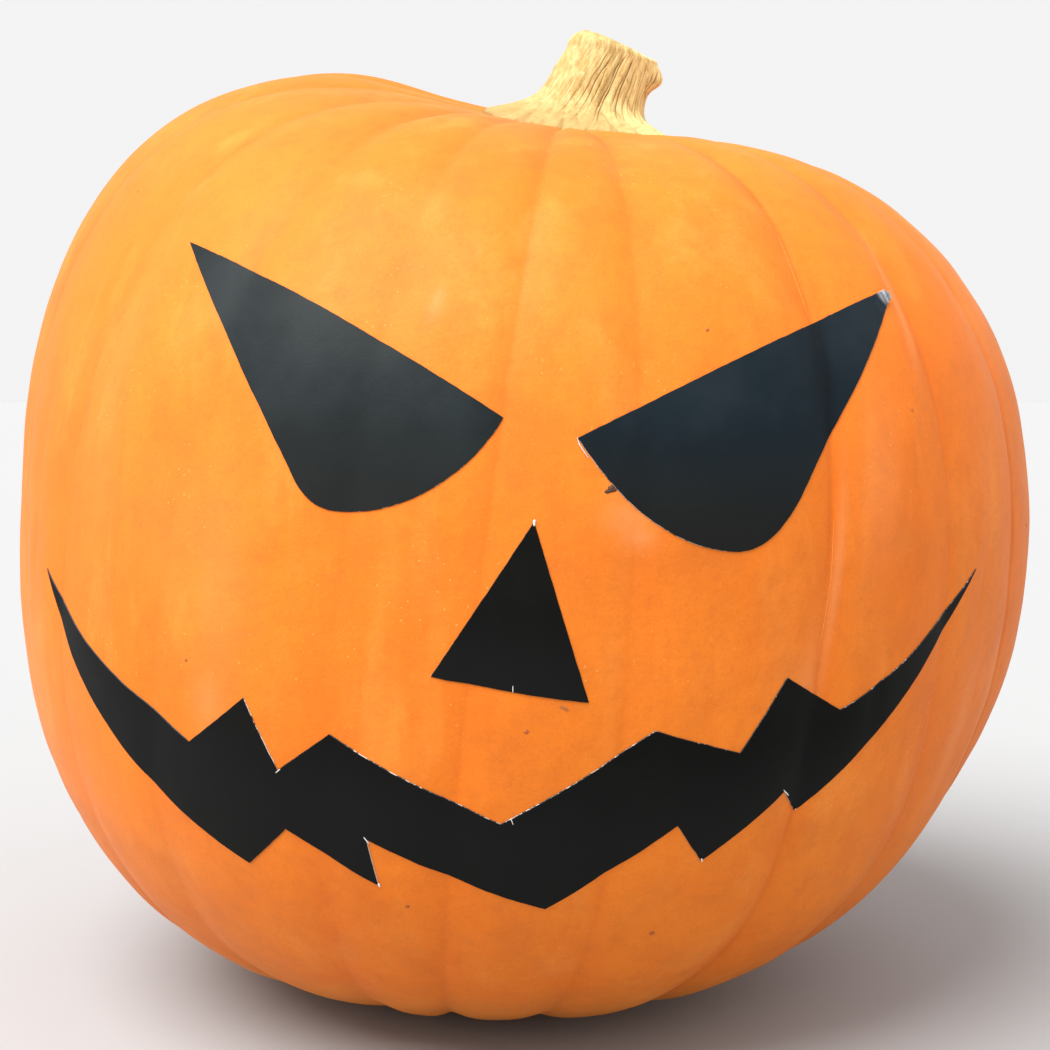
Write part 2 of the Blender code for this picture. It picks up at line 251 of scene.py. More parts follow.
class Recipe:
    """A material's node tree, with short calls that add nodes and join them."""

    def __init__(self, name: str) -> None:
        """Start an empty Principled material.

        Args:
            name: the material's name.
        """
        self.material = bpy.data.materials.new(name)
        self.material.use_nodes = True
        self.tree = self.material.node_tree
        self.shader = self.tree.nodes["Principled BSDF"]
        self.place = self.add("ShaderNodeTexCoord").outputs["Object"]

    def add(self, kind: str, **settings: object) -> bpy.types.Node:
        """Add a node.

        Args:
            kind: Blender's name for the node type.
            settings: properties to set on it.

        Returns:
            The node.
        """
        node = self.tree.nodes.new(kind)
        for key, value in settings.items():
            setattr(node, key, value)
        return node

    def feed(self, target: bpy.types.NodeSocket, source: object) -> None:
        """Link a socket into another, or set a plain value on it.

        Args:
            target: the input socket.
            source: an output socket, a number or a colour.
        """
        if isinstance(source, bpy.types.NodeSocket):
            self.tree.links.new(source, target)
        else:
            target.default_value = source

    def painted(self, name: str) -> bpy.types.NodeSocket:
        """The value that paint() stored under a name."""
        return self.add("ShaderNodeAttribute", attribute_name=name).outputs["Fac"]

    def stretched(self, scale: Axes) -> bpy.types.NodeSocket:
        """The object's coordinates, scaled differently along each axis.

        Args:
            scale: features in a metre along each axis.

        Returns:
            The scaled coordinates.
        """
        mapping = self.add("ShaderNodeMapping")
        self.feed(mapping.inputs["Vector"], self.place)
        mapping.inputs["Scale"].default_value = scale
        return mapping.outputs["Vector"]

    def cloud(self, cloud: Cloud) -> bpy.types.NodeSocket:
        """Soft noise.

        Args:
            cloud: its scale, how many finer layers it has and how strong they are.

        Returns:
            A value from 0 to 1.
        """
        node = self.add("ShaderNodeTexNoise")
        place = self.stretched(cloud.stretch) if cloud.stretch else self.place
        self.feed(node.inputs["Vector"], place)
        node.inputs["Scale"].default_value = cloud.scale
        node.inputs["Detail"].default_value = cloud.detail
        node.inputs["Roughness"].default_value = cloud.rough
        return node.outputs["Fac"]

    def dots(self, dots: Dots) -> bpy.types.NodeSocket:
        """Scattered round dots.

        Args:
            dots: their size and spacing.

        Returns:
            1 inside a dot, 0 outside, with a soft rim.
        """
        cells = self.add("ShaderNodeTexVoronoi")
        self.feed(cells.inputs["Vector"], self.place)
        cells.inputs["Scale"].default_value = dots.cells
        near = self.band(cells.outputs["Distance"], dots.radius, dots.radius * dots.rim)
        picked = self.add("ShaderNodeSeparateColor")
        self.feed(picked.inputs["Color"], cells.outputs["Color"])
        return self.times(near, self.sum("LESS_THAN", picked.outputs["Red"], dots.share))

    def band(self, value: object, low: float, high: float) -> bpy.types.NodeSocket:
        """Eased share of the way from low to high.

        Args:
            value: where to ask.
            low: where the share is 0.
            high: where the share is 1. It may be below low.

        Returns:
            A value from 0 to 1.
        """
        node = self.add("ShaderNodeMapRange", interpolation_type="SMOOTHSTEP")
        self.feed(node.inputs["Value"], value)
        node.inputs["From Min"].default_value = low
        node.inputs["From Max"].default_value = high
        return node.outputs["Result"]

    def sum(self, operation: str, first: object, second: object) -> bpy.types.NodeSocket:
        """One step of arithmetic on two values.

        Args:
            operation: Blender's name for it.
            first: a value or a socket.
            second: a value or a socket.

        Returns:
            The result.
        """
        node = self.add("ShaderNodeMath", operation=operation)
        self.feed(node.inputs[0], first)
        self.feed(node.inputs[1], second)
        return node.outputs["Value"]

    def times(self, first: object, second: object) -> bpy.types.NodeSocket:
        """The product of two values."""
        return self.sum("MULTIPLY", first, second)

    def blend(self, share: object, under: object, over: object) -> bpy.types.NodeSocket:
        """Mix two colours.

        Args:
            share: from 0 to 1.
            under: the colour at share 0.
            over: the colour at share 1.

        Returns:
            The mixed colour.
        """
        node = self.add("ShaderNodeMix", data_type="RGBA")
        self.feed(node.inputs["Factor"], share)
        self.feed(node.inputs[MixSocket.UNDER.value], under)
        self.feed(node.inputs[MixSocket.OVER.value], over)
        return node.outputs[MixSocket.RESULT.value]

    def layered(self, colour: object, layers: tuple[Layer, ...]) -> object:
        """Lay clouds of colour over a colour.

        Args:
            colour: the colour underneath.
            layers: the clouds, the lowest first.

        Returns:
            The mixed colour.
        """
        for layer in layers:
            share = self.times(self.band(self.cloud(layer.cloud), layer.low, layer.high), layer.strength)
            colour = self.blend(share, colour, layer.tone)
        return colour

    def tinted(self, colour: object, name: str, tone: Colour, strength: float = 1.0) -> bpy.types.NodeSocket:
        """Lay a tone over a colour where paint() stored a value.

        Args:
            colour: the colour underneath.
            name: the stored value's name.
            tone: the tone.
            strength: how much of the tone shows where the value is 1.

        Returns:
            The mixed colour.
        """
        return self.blend(self.times(self.painted(name), strength), colour, tone)

    def relief(self, height: object, distance: float, below: object = None) -> bpy.types.NodeSocket:
        """Fine relief from a height value.

        Args:
            height: values from 0 to 1.
            distance: how high 1 stands, in metres.
            below: an earlier relief to build on.

        Returns:
            A normal for the shader or for the next relief.
        """
        node = self.add("ShaderNodeBump")
        node.inputs["Distance"].default_value = distance
        self.feed(node.inputs["Height"], height)
        if below is not None:
            self.feed(node.inputs["Normal"], below)
        return node.outputs["Normal"]

    def grained(self, grains: tuple[Grain, ...], below: object = None) -> object:
        """Several grains, one on another.

        Args:
            grains: the grains, the first lowest.
            below: an earlier relief to build on.

        Returns:
            A normal for the shader.
        """
        for grain in grains:
            below = self.relief(self.cloud(grain.cloud), grain.height, below)
        return below

    def glossed(self, gloss: Gloss) -> bpy.types.NodeSocket:
        """Roughness that wanders about its middle.

        Args:
            gloss: the middle and the swing.

        Returns:
            The roughness.
        """
        node = self.add("ShaderNodeMath", operation="MULTIPLY_ADD")
        self.feed(node.inputs[0], self.cloud(gloss.cloud))
        node.inputs[1].default_value = gloss.swing
        node.inputs[2].default_value = gloss.roughness - gloss.swing / 2
        return node.outputs["Value"]

    def finish(self, **inputs: object) -> bpy.types.Material:
        """Feed the shader and end the recipe.

        Args:
            inputs: a source for each of the shader's inputs, with _ for a space in its name.

        Returns:
            The material.
        """
        for key, value in inputs.items():
            self.feed(self.shader.inputs[key.replace("_", " ")], value)
        return self.material


@dataclass(frozen=True)
class RindFinish:
    """Satin orange rind, cloudy, with pale specks and brown freckles; painted shade darkens it in the
    grooves and along their tight creases, and its pale patches are partly rubbed scuffs and partly painted
    light.
    """

    ripe: Colour = (0.740, 0.170, 0.012, 1.0)
    light: Colour = (0.760, 0.195, 0.016, 1.0)
    streak: Colour = (0.790, 0.240, 0.034, 1.0)
    deep: Colour = (0.690, 0.140, 0.010, 1.0)
    dull: Colour = (0.500, 0.120, 0.018, 1.0)
    # painted shade: darker, redder tones for the grooves and their tight creases
    groove: Colour = (0.640, 0.110, 0.008, 1.0)
    crease: Colour = (0.430, 0.060, 0.006, 1.0)
    speck: Colour = (0.850, 0.360, 0.090, 1.0)
    # tone of the pale places: rubbed scuffs, and painted light
    scuffed_and_lit: Colour = (0.800, 0.300, 0.110, 1.0)
    ground_patch: Colour = (0.760, 0.300, 0.055, 1.0)
    layers: tuple[Layer, ...] = (
        Layer(light, 1.0, Cloud(9.0), 0.30, 0.70),
        Layer(deep, 0.40, Cloud(1.0, 3.0, 0.55, (110.0, 110.0, 9.0)), 0.45, 0.75),
        Layer(streak, 0.65, Cloud(1.0, 4.0, 0.6, (52.0, 52.0, 13.0)), 0.50, 0.74),
        Layer(deep, 0.30, Cloud(27.0, 5.0, 0.6), 0.46, 0.70),
        Layer(dull, 0.22, Cloud(33.0, 5.0, 0.6), 0.46, 0.70),
        Layer(dull, 0.18, Cloud(85.0, 5.0, 0.6), 0.46, 0.70),
        Layer(dull, 0.18, Cloud(260.0, 5.0, 0.6), 0.46, 0.70),
        Layer(dull, 0.22, Cloud(1200.0, 5.0, 0.6), 0.46, 0.70),
    )
    # strength of the painted shade in the grooves and along their creases
    groove_shade_strength: float = 0.34
    crease_shade_strength: float = 0.55
    # strength of the pale places: rubbed scuffs, and painted light
    scuff_and_light_strength: float = 0.75
    specks: Dots = Dots(620.0, 0.24, 0.14, 0.50)
    flocks: Cloud = Cloud(24.0, 2.0)
    flock_band: tuple[float, float] = (0.45, 0.65)
    dusting: Dots = Dots(1100.0, 0.30, 0.30, 0.16)
    grains: tuple[Grain, ...] = (Grain(Cloud(900.0, 4.0, 0.6), 0.00006), Grain(Cloud(160.0), 0.00022))
    speck_height: float = 0.00004
    gloss: Gloss = Gloss(0.54, 0.16, Cloud(45.0, 4.0, 0.6))
    sheen: float = 0.14

    def make(self) -> bpy.types.Material:
        """Build the material.

        Returns:
            The rind's material.
        """
        recipe = Recipe("rind")
        colour = recipe.layered(self.ripe, self.layers)
        # painted shade in the grooves and along their tight creases
        colour = recipe.tinted(colour, "groove", self.groove, self.groove_shade_strength)
        colour = recipe.tinted(colour, "crease", self.crease, self.crease_shade_strength)
        colour = recipe.tinted(colour, "ground", self.ground_patch)
        flocks = recipe.band(recipe.cloud(self.flocks), *self.flock_band)
        specks = recipe.times(recipe.dots(self.specks), flocks)
        colour = recipe.blend(recipe.times(specks, self.specks.strength), colour, self.speck)
        dusting = recipe.times(recipe.dots(self.dusting), self.dusting.strength)
        colour = recipe.blend(dusting, colour, self.speck)
        # pale places: rubbed scuffs, and painted light
        colour = recipe.tinted(colour, "scuff_and_light", self.scuffed_and_lit, self.scuff_and_light_strength)
        relief = recipe.relief(specks, self.speck_height, recipe.grained(self.grains))
        return recipe.finish(
            Base_Color=colour,
            Roughness=recipe.glossed(self.gloss),
            Normal=relief,
            Specular_IOR_Level=self.sheen,
        )


@dataclass(frozen=True)
class StemFinish:
    """Dry, corky straw with brown cracks, painted shade in the hollows round them, the side turned from the
    key light painted lighter, painted shade on the tongue behind and at one tongue's tip, and a darker foot.
    """

    straw: Colour = (0.440, 0.300, 0.102, 1.0)
    pale: Colour = (0.560, 0.440, 0.190, 1.0)
    # painted light: the tone that lightens the side turned from the key light
    painted_light_tone: Colour = (0.840, 0.640, 0.270, 1.0)
    # the foot is darker towards its rim
    root: Colour = (0.420, 0.265, 0.092, 1.0)
    brown: Colour = (0.340, 0.200, 0.060, 1.0)
    crack: Colour = (0.150, 0.070, 0.018, 1.0)
    grey: Colour = (0.095, 0.078, 0.055, 1.0)
    fibres: Cloud = Cloud(1.0, 4.0, 0.6, (520.0, 520.0, 60.0))
    fibre_layer: Layer = Layer(pale, 1.0, fibres, 0.35, 0.65)
    stains: Layer = Layer(brown, 0.60, Cloud(1.0, 4.0, 0.65, (360.0, 360.0, 170.0)), 0.49, 0.67)
    # painted shade in the hollow round each crack; the crack itself has its own dark tone
    valley: tuple[float, float] = (0.12, 0.50)
    valley_shade_strength: float = 0.48
    depths: tuple[float, float] = (0.50, 0.95)
    depths_strength: float = 0.90
    grains: tuple[Grain, ...] = (Grain(fibres, 0.00035), Grain(Cloud(1400.0, 3.0, 0.6), 0.00012))
    roughness: float = 0.80
    sheen: float = 0.25

    def make(self) -> bpy.types.Material:
        """Build the material.

        Returns:
            The stem's material.
        """
        recipe = Recipe("dry_stem")
        colour = recipe.layered(self.straw, (self.fibre_layer,))
        # painted light on the side turned from the key light
        colour = recipe.tinted(colour, "painted_light", self.painted_light_tone)
        # darker towards the foot's rim
        colour = recipe.tinted(colour, "foot", self.root)
        colour = recipe.layered(colour, (self.stains,))
        # painted shade in the hollows round the cracks, then the dark cracks themselves
        valley = recipe.painted("valley")
        valley_shade = recipe.times(recipe.band(valley, *self.valley), self.valley_shade_strength)
        colour = recipe.blend(valley_shade, colour, self.brown)
        depths = recipe.times(recipe.band(valley, *self.depths), self.depths_strength)
        colour = recipe.blend(depths, colour, self.crack)
        colour = recipe.tinted(colour, "shaded", self.grey)
        # painted shade: the tip of the tongue on the -X side, for the shaded gap under it
        colour = recipe.tinted(colour, "tip", self.crack)
        return recipe.finish(
            Base_Color=colour,
            Roughness=self.roughness,
            Normal=recipe.grained(self.grains),
            Specular_IOR_Level=self.sheen,
        )


@dataclass(frozen=True)
class FilmFinish:
    """Black self-adhesive film with a satin sheen, greyer where it has bloomed, darkened by painted shade
    over the grooves, and pale at curled tips with bare film and painted glint.
    """

    name: str
    body: Colour
    bloom: Colour
    roughness: float
    sheen: float
    # strength of the painted shade over the grooves
    groove_shade_on_film: float = 0.75
    low: Colour = (0.0080, 0.0086, 0.0082, 1.0)
    # pale tone of bare film and painted glint on a creased tip
    bare_and_glint: Colour = (0.42, 0.44, 0.47, 1.0)
    # painted shade over the grooves
    painted_groove_shade: Colour = (0.0010, 0.0012, 0.0014, 1.0)
    haze: Cloud = Cloud(38.0, 5.0, 0.6)
    haze_band: tuple[float, float] = (0.35, 0.70)
    grains: tuple[Grain, ...] = (Grain(Cloud(1500.0, 3.0, 0.6), 0.00003), Grain(Cloud(120.0), 0.00012))
    gloss_swing: float = 0.14
    gloss_cloud: Cloud = Cloud(60.0, 4.0, 0.6)

    def make(self) -> bpy.types.Material:
        """Build the material.

        Returns:
            The film's material.
        """
        recipe = Recipe(self.name)
        haze = recipe.band(recipe.cloud(self.haze), *self.haze_band)
        colour = recipe.blend(haze, self.body, self.bloom)
        colour = recipe.tinted(colour, "low", self.low)
        # painted shade where the film lies over a groove
        colour = recipe.tinted(colour, "painted_groove_shade", self.painted_groove_shade, self.groove_shade_on_film)
        # bare film and painted glint on the folds of a curled tip
        colour = recipe.tinted(colour, "bare_and_glint", self.bare_and_glint)
        return recipe.finish(
            Base_Color=colour,
            Roughness=recipe.glossed(Gloss(self.roughness, self.gloss_swing, self.gloss_cloud)),
            Normal=recipe.grained(self.grains),
            Specular_IOR_Level=self.sheen,
        )


@dataclass(frozen=True)
class CutEdgeFinish:
    """The film's cut edge, whose white core shows where the knife pulled it."""

    film: Colour = (0.012, 0.013, 0.014, 1.0)
    core: Colour = (0.50, 0.44, 0.38, 1.0)
    pull: Cloud = Cloud(420.0, 4.0, 0.7)
    showing: tuple[float, float] = (0.98, 1.12)
    roughness: float = 0.6

    def make(self) -> bpy.types.Material:
        """Build the material.

        Returns:
            The cut edge's material.
        """
        recipe = Recipe("film_cut_edge")
        pulled = recipe.sum("ADD", recipe.painted("core"), recipe.cloud(self.pull))
        colour = recipe.blend(recipe.band(pulled, *self.showing), self.film, self.core)
        return recipe.finish(Base_Color=colour, Roughness=self.roughness)


@dataclass(frozen=True)
class CoreFinish:
    """White paper-like core of the film, where it is cut open."""

    core: Colour = (0.72, 0.70, 0.66, 1.0)
    soiled: Colour = (0.45, 0.36, 0.28, 1.0)
    soil: Layer = Layer(soiled, 1.0, Cloud(900.0), 0.45, 0.70)
    roughness: float = 0.7

    def make(self) -> bpy.types.Material:
        """Build the material.

        Returns:
            The core's material.
        """
        recipe = Recipe("film_core")
        colour = recipe.layered(self.core, (self.soil,))
        return recipe.finish(Base_Color=colour, Roughness=self.roughness)


@dataclass(frozen=True)
class CorkFinish:
    """Dry corky tissue of a healed scar or a freckle."""

    name: str
    dry: Colour
    dark: Colour
    blotches: Cloud = Cloud(700.0, 4.0, 0.6)
    blotch_band: tuple[float, float] = (0.35, 0.65)
    grain: Grain = Grain(Cloud(1600.0, 3.0, 0.6), 0.0001)
    roughness: float = 0.75

    def make(self) -> bpy.types.Material:
        """Build the material.

        Returns:
            The cork's material.
        """
        recipe = Recipe(self.name)
        blotches = recipe.band(recipe.cloud(self.blotches), *self.blotch_band)
        colour = recipe.blend(blotches, self.dry, self.dark)
        relief = recipe.grained((self.grain,))
        return recipe.finish(Base_Color=colour, Roughness=self.roughness, Normal=relief)


@dataclass(frozen=True)
class FloorFinish:
    """Plain pale studio floor."""

    pale: Colour = (0.354, 0.354, 0.354, 1.0)
    shade: Colour = (0.350, 0.350, 0.350, 1.0)
    mottle: Cloud = Cloud(3.0, 2.0)
    roughness: float = 0.85

    def make(self) -> bpy.types.Material:
        """Build the material.

        Returns:
            The floor's material.
        """
        recipe = Recipe("floor")
        colour = recipe.blend(recipe.cloud(self.mottle), self.pale, self.shade)
        return recipe.finish(Base_Color=colour, Roughness=self.roughness)


# ------------------------------------------------------------------ the fruit's shape


@dataclass(frozen=True)
class Swell:
    """A place where the fruit has grown more, or less, than its regular shape."""

    azimuth: float
    elevation: float
    spread: float
    rise: float


@dataclass(frozen=True)
class Groove:
    """A groove between two ribs.

    Its azimuth is middle at the girth and swings by swing towards the stem. Depth is a share of
    the fruit's own, softness rounds the floor, as a share of half a rib, and lip raises a ridge of
    that height along the far side. It dies out within fade degrees of the stem. Crisp is how
    clearly a tight crease shows along its floor, as relief and as painted shade.
    """

    middle: float
    swing: float
    depth: float = 1.0
    softness: float = 0.20
    lip: float = 0.0
    fade: float = 20.0
    crisp: float = 0.8


@dataclass(frozen=True)
class Crease:
    """A short, shallow fold on a rib's back."""

    azimuth: float
    low: float
    high: float
    depth: float
    width: float


@dataclass
class GrowingFrame:
    """How the fruit's own frame stands in the row frame."""

    lean: float = 6.0
    centre: Vector = field(default_factory=Vector)

    def turn(self) -> Points:
        """The lean as a 3 by 3 matrix."""
        return np.array(Matrix.Rotation(math.radians(self.lean), 3, "Y"))

    def to_row(self, points: Points) -> Points:
        """Growing-frame points in the row frame."""
        return points @ self.turn().T + np.array(self.centre)


@dataclass
class RibbedSkin:
    """The skin as a distance from the radial centre for every direction."""

    girth_radius: float = 0.165
    top_radius: float = 0.1485
    bottom_radius: float = 0.165
    top_fullness: float = 2.25
    bottom_fullness: float = 2.62
    groove_depth_mid: float = 0.0018
    groove_depth_shoulder: float = 0.0045
    blossom_fade: float = 20.0
    rib_roundness: float = 3.0
    # how far a groove's painted shade spreads from its floor
    groove_shade_reach: float = 0.0055
    crease_depth: float = 0.00042
    crease_width: float = 0.0011
    crease_cover: float = 0.65
    crease_patches: Wave = Wave(0.9, 0.16, 5.0)
    crease_ends: tuple[float, float] = (12.0, 40.0)
    fold_fade: float = 12.0
    shoulder_power: int = 4
    lip_offset: float = 0.0022
    lip_width: float = 0.0011
    waves: tuple[Wave, ...] = (Wave(0.00045, 0.035, 3.0), Wave(0.00010, 0.011, 9.0))
    stance: GrowingFrame = field(default_factory=GrowingFrame)
    swells: tuple[Swell, ...] = (
        Swell(-101, 44, 26, 0.016),
        Swell(110, -56, 45, -0.0175),
        Swell(86, -9, 17, 0.006),
        Swell(129, 87, 34, -0.0295),
        Swell(150, 84, 14, 0.012),
        Swell(115, -80, 16, 0.0055),
        Swell(-125, 63, 18, 0.0043),
        Swell(42, 52, 20, 0.0029),
        Swell(-103, 8, 22, 0.0044),
        Swell(-75, -66, 18, 0.0031),
        Swell(194, 61, 26, 0.0014),
        Swell(7, 60, 19, -0.0039),
        Swell(-108.5, 60.5, 10, 0.0027),
        Swell(38, 76, 19, 0.0024),
    )
    grooves: tuple[Groove, ...] = (
        Groove(-93, -5, 0.55, 0.10, crisp=0.6),
        Groove(-72, -6, 0.55, 0.12, crisp=0.4),
        Groove(-55, 3, 0.70, 0.17, crisp=0.25),
        Groove(-37, 6, 0.72, 0.15, crisp=0.10),
        Groove(-17.5, 1, 0.66, 0.17, fade=46, crisp=0.10),
        Groove(-4.2, 1, 0.72, 0.14, fade=46, crisp=0.25),
        Groove(9.9, -3, 0.72, 0.14, fade=46, crisp=0.25),
        Groove(30.4, -2.6, 1.15, 0.07, 0.00008, fade=46, crisp=0.7),
        Groove(48.3, -7, 0.85, 0.11, 0.00004, crisp=0.35),
        Groove(67, -8, 0.95, 0.06, 0.00016),
        Groove(85, -6, 1.0, 0.06, 0.00012),
        Groove(103, -3, 1.1, 0.10),
        Groove(119, 0, 0.9, 0.14),
        Groove(138, 2, 1.0, 0.12),
        Groove(156, 1, 1.1, 0.08, 0.00015),
        Groove(173, -2, 0.9, 0.12),
        Groove(191, -2, 0.8, 0.14),
        Groove(209, 1, 1.0, 0.12),
        Groove(228, 3, 1.1, 0.08, 0.00015),
        Groove(247, 0, 0.9, 0.12),
    )
    creases: tuple[Crease, ...] = (
        Crease(-8.0, -22, 8, 0.0004, 0.0030),
        Crease(35.5, 6, 26, -0.00022, 0.0020),
        Crease(-28.0, -5, 24, 0.0004, 0.0035),
        Crease(19.0, -28, 4, 0.0004, 0.0035),
        Crease(38.5, -20, 8, 0.0004, 0.0025),
        Crease(56.0, -12, 20, 0.0005, 0.0030),
        Crease(-64.0, -18, 16, 0.0004, 0.0030),
        Crease(111.0, -20, 20, 0.0005, 0.0030),
        Crease(146.0, -15, 26, 0.0005, 0.0030),
        Crease(182.0, -24, 12, 0.0005, 0.0035),
        Crease(218.0, -18, 22, 0.0005, 0.0030),
        Crease(237.0, -8, 30, 0.0004, 0.0030),
    )

    def ungrooved(self, azimuth: Points, elevation: Points) -> Points:
        """Distance to the skin before its grooves.

        Args:
            azimuth: in radians.
            elevation: in radians.

        Returns:
            Distances in metres.
        """
        upper = elevation >= 0
        height = np.where(upper, self.top_radius, self.bottom_radius)
        fullness = np.where(upper, self.top_fullness, self.bottom_fullness)
        across = (np.abs(np.cos(elevation)) / self.girth_radius) ** fullness
        along = (np.abs(np.sin(elevation)) / height) ** fullness
        radius = (across + along) ** (-1 / fullness)
        towards = heading(azimuth, elevation)
        for swell in self.swells:
            middle = heading(math.radians(swell.azimuth), math.radians(swell.elevation))
            angle = np.degrees(np.arccos(np.clip(towards @ middle, -1, 1)))
            radius = radius + swell.rise * np.exp(-((angle / swell.spread) ** 2))
        return radius

    def groove_azimuth(self, number: int, elevation: Points) -> Points:
        """Azimuth of a groove, counted on past the last for the next time round.

        Args:
            number: the groove's number.
            elevation: in radians.

        Returns:
            Azimuths in radians.
        """
        turns, index = divmod(number, len(self.grooves))
        groove = self.grooves[index]
        return np.radians(groove.middle + groove.swing * np.sin(elevation) + 360 * turns)

    def depth(self, groove: Groove, elevation: Points) -> Points:
        """How deep a groove is along its length.

        Args:
            groove: the groove.
            elevation: in radians.

        Returns:
            Depths in metres.
        """
        degrees = np.degrees(elevation)
        fade = np.clip((90 - np.abs(degrees)) / np.where(degrees > 0, groove.fade, self.blossom_fade), 0, 1)
        deeper = self.groove_depth_shoulder * np.sin(elevation) ** self.shoulder_power
        return groove.depth * fade * (self.groove_depth_mid + deeper)

    def furrows(self, azimuth: Points, elevation: Points) -> tuple[Points, Points, Points]:
        """How far the grooves and creases draw the skin in, and how near a groove's floor is.

        Args:
            azimuth: in radians.
            elevation: in radians.

        Returns:
            Depths in metres, closeness to a groove from 0 to 1, and closeness to its tight crease. The
            rind's painted shade follows both closenesses, the film's the first.
        """
        shape = np.broadcast(azimuth, elevation).shape
        azimuth = np.broadcast_to(azimuth, shape)
        elevation = np.broadcast_to(elevation, shape)
        drop, near, tight = np.zeros(shape), np.zeros(shape), np.zeros(shape)
        around = self.girth_radius * np.cos(elevation)
        for number, groove in enumerate(self.grooves):
            low = self.groove_azimuth(number, elevation)
            high = self.groove_azimuth(number + 1, elevation)
            far = self.grooves[(number + 1) % len(self.grooves)]
            share = np.mod(azimuth - low, FULL_TURN) / (high - low)
            for away, side in ((2 * share, groove), (2 * (1 - share), far)):
                here = (share < 1) & (away <= 1)
                reach = np.sqrt(away**2 + side.softness**2)
                fall = np.clip(1 - reach, 0, 1) ** self.rib_roundness * self.depth(side, elevation)
                metres = away * (high - low) / 2 * around
                strength = min(1.0, side.depth)
                crisp = side.crisp * np.exp(-((metres / self.crease_width) ** 2))
                drop = np.where(here, fall, drop)
                # closeness to a groove's floor, which sets the painted shade on the rind and the film
                near = np.where(here, strength * np.exp(-((metres / self.groove_shade_reach) ** 2)), near)
                tight = np.where(here, crisp, tight)
            ridge = share * (high - low) * around
            bulge = groove.lip * np.exp(-(((ridge - self.lip_offset) / self.lip_width) ** 2))
            drop = drop - np.where(share < 1, bulge, 0)
        patches = self.crease_patches.over(heading(azimuth, elevation))
        tight = tight * np.clip(self.crease_cover + patches, 0, 1)
        tight = tight * smooth_step(90 - np.abs(np.degrees(elevation)), *self.crease_ends)
        drop = drop + self.crease_depth * tight
        for crease in self.creases:
            aside = np.mod(azimuth - math.radians(crease.azimuth) + math.pi, FULL_TURN) - math.pi
            metres = aside * around
            degrees = np.degrees(elevation)
            ends = smooth_step(degrees, crease.low, crease.low + self.fold_fade)
            ends = ends * smooth_step(degrees, crease.high, crease.high - self.fold_fade)
            drop = drop + crease.depth * ends * np.exp(-((metres / crease.width) ** 2))
        return drop, near, tight

    def radius(self, azimuth: Points, elevation: Points) -> Points:
        """Distance to the finished skin.

        Args:
            azimuth: in radians.
            elevation: in radians.

        Returns:
            Distances in metres.
        """
        smooth = self.ungrooved(azimuth, elevation)
        drop = self.furrows(azimuth, elevation)[0]
        grown = heading(azimuth, elevation) * smooth[..., None]
        return smooth - drop + sum(wave.over(grown) for wave in self.waves)

    def place(self, azimuth: Points, elevation: Points, lift: Points | float = 0.0) -> Points:
        """Skin points in the row frame.

        Args:
            azimuth: in radians.
            elevation: in radians.
            lift: how far off the skin, outwards.

        Returns:
            Positions, with the flat spot pressed in.
        """
        distance = self.radius(azimuth, elevation) + lift
        points = self.stance.to_row(heading(azimuth, elevation) * distance[..., None])
        points[..., 2] = np.maximum(points[..., 2], 0.0)
        return points

    def wrap(self, flat_mm: Points, azimuth: float, elevation: float) -> tuple[Points, Points]:
        """Where points of a flat sheet land when it is smoothed down on the round skin.

        Args:
            flat_mm: points right of and above the anchor, in millimetres.
            azimuth: the anchor's azimuth, in degrees.
            elevation: the anchor's elevation, in degrees.

        Returns:
            Azimuths and elevations in radians.
        """
        turn, tilt = math.radians(azimuth), math.radians(elevation)
        anchor = heading(turn, tilt)
        right = np.array([math.cos(turn), math.sin(turn), 0.0])
        above = heading(turn, tilt + math.pi / 2)
        along = (flat_mm[..., :1] * right + flat_mm[..., 1:] * above) * MILLIMETRE
        length = np.linalg.norm(along, axis=-1, keepdims=True)
        angle = length / self.girth_radius
        towards = anchor * np.cos(angle) + along / np.maximum(length, TINY) * np.sin(angle)
        return np.arctan2(towards[..., 0], -towards[..., 1]), np.arcsin(np.clip(towards[..., 2], -1, 1))


@dataclass(frozen=True)
class ScuffAndLight:
    """A pale place on the rind. Some are rubbed scuffs and some are painted light, as the list notes. Angles
    and half-sizes are in degrees.
    """

    azimuth: float
    elevation: float
    wide: float
    high: float
    strength: float


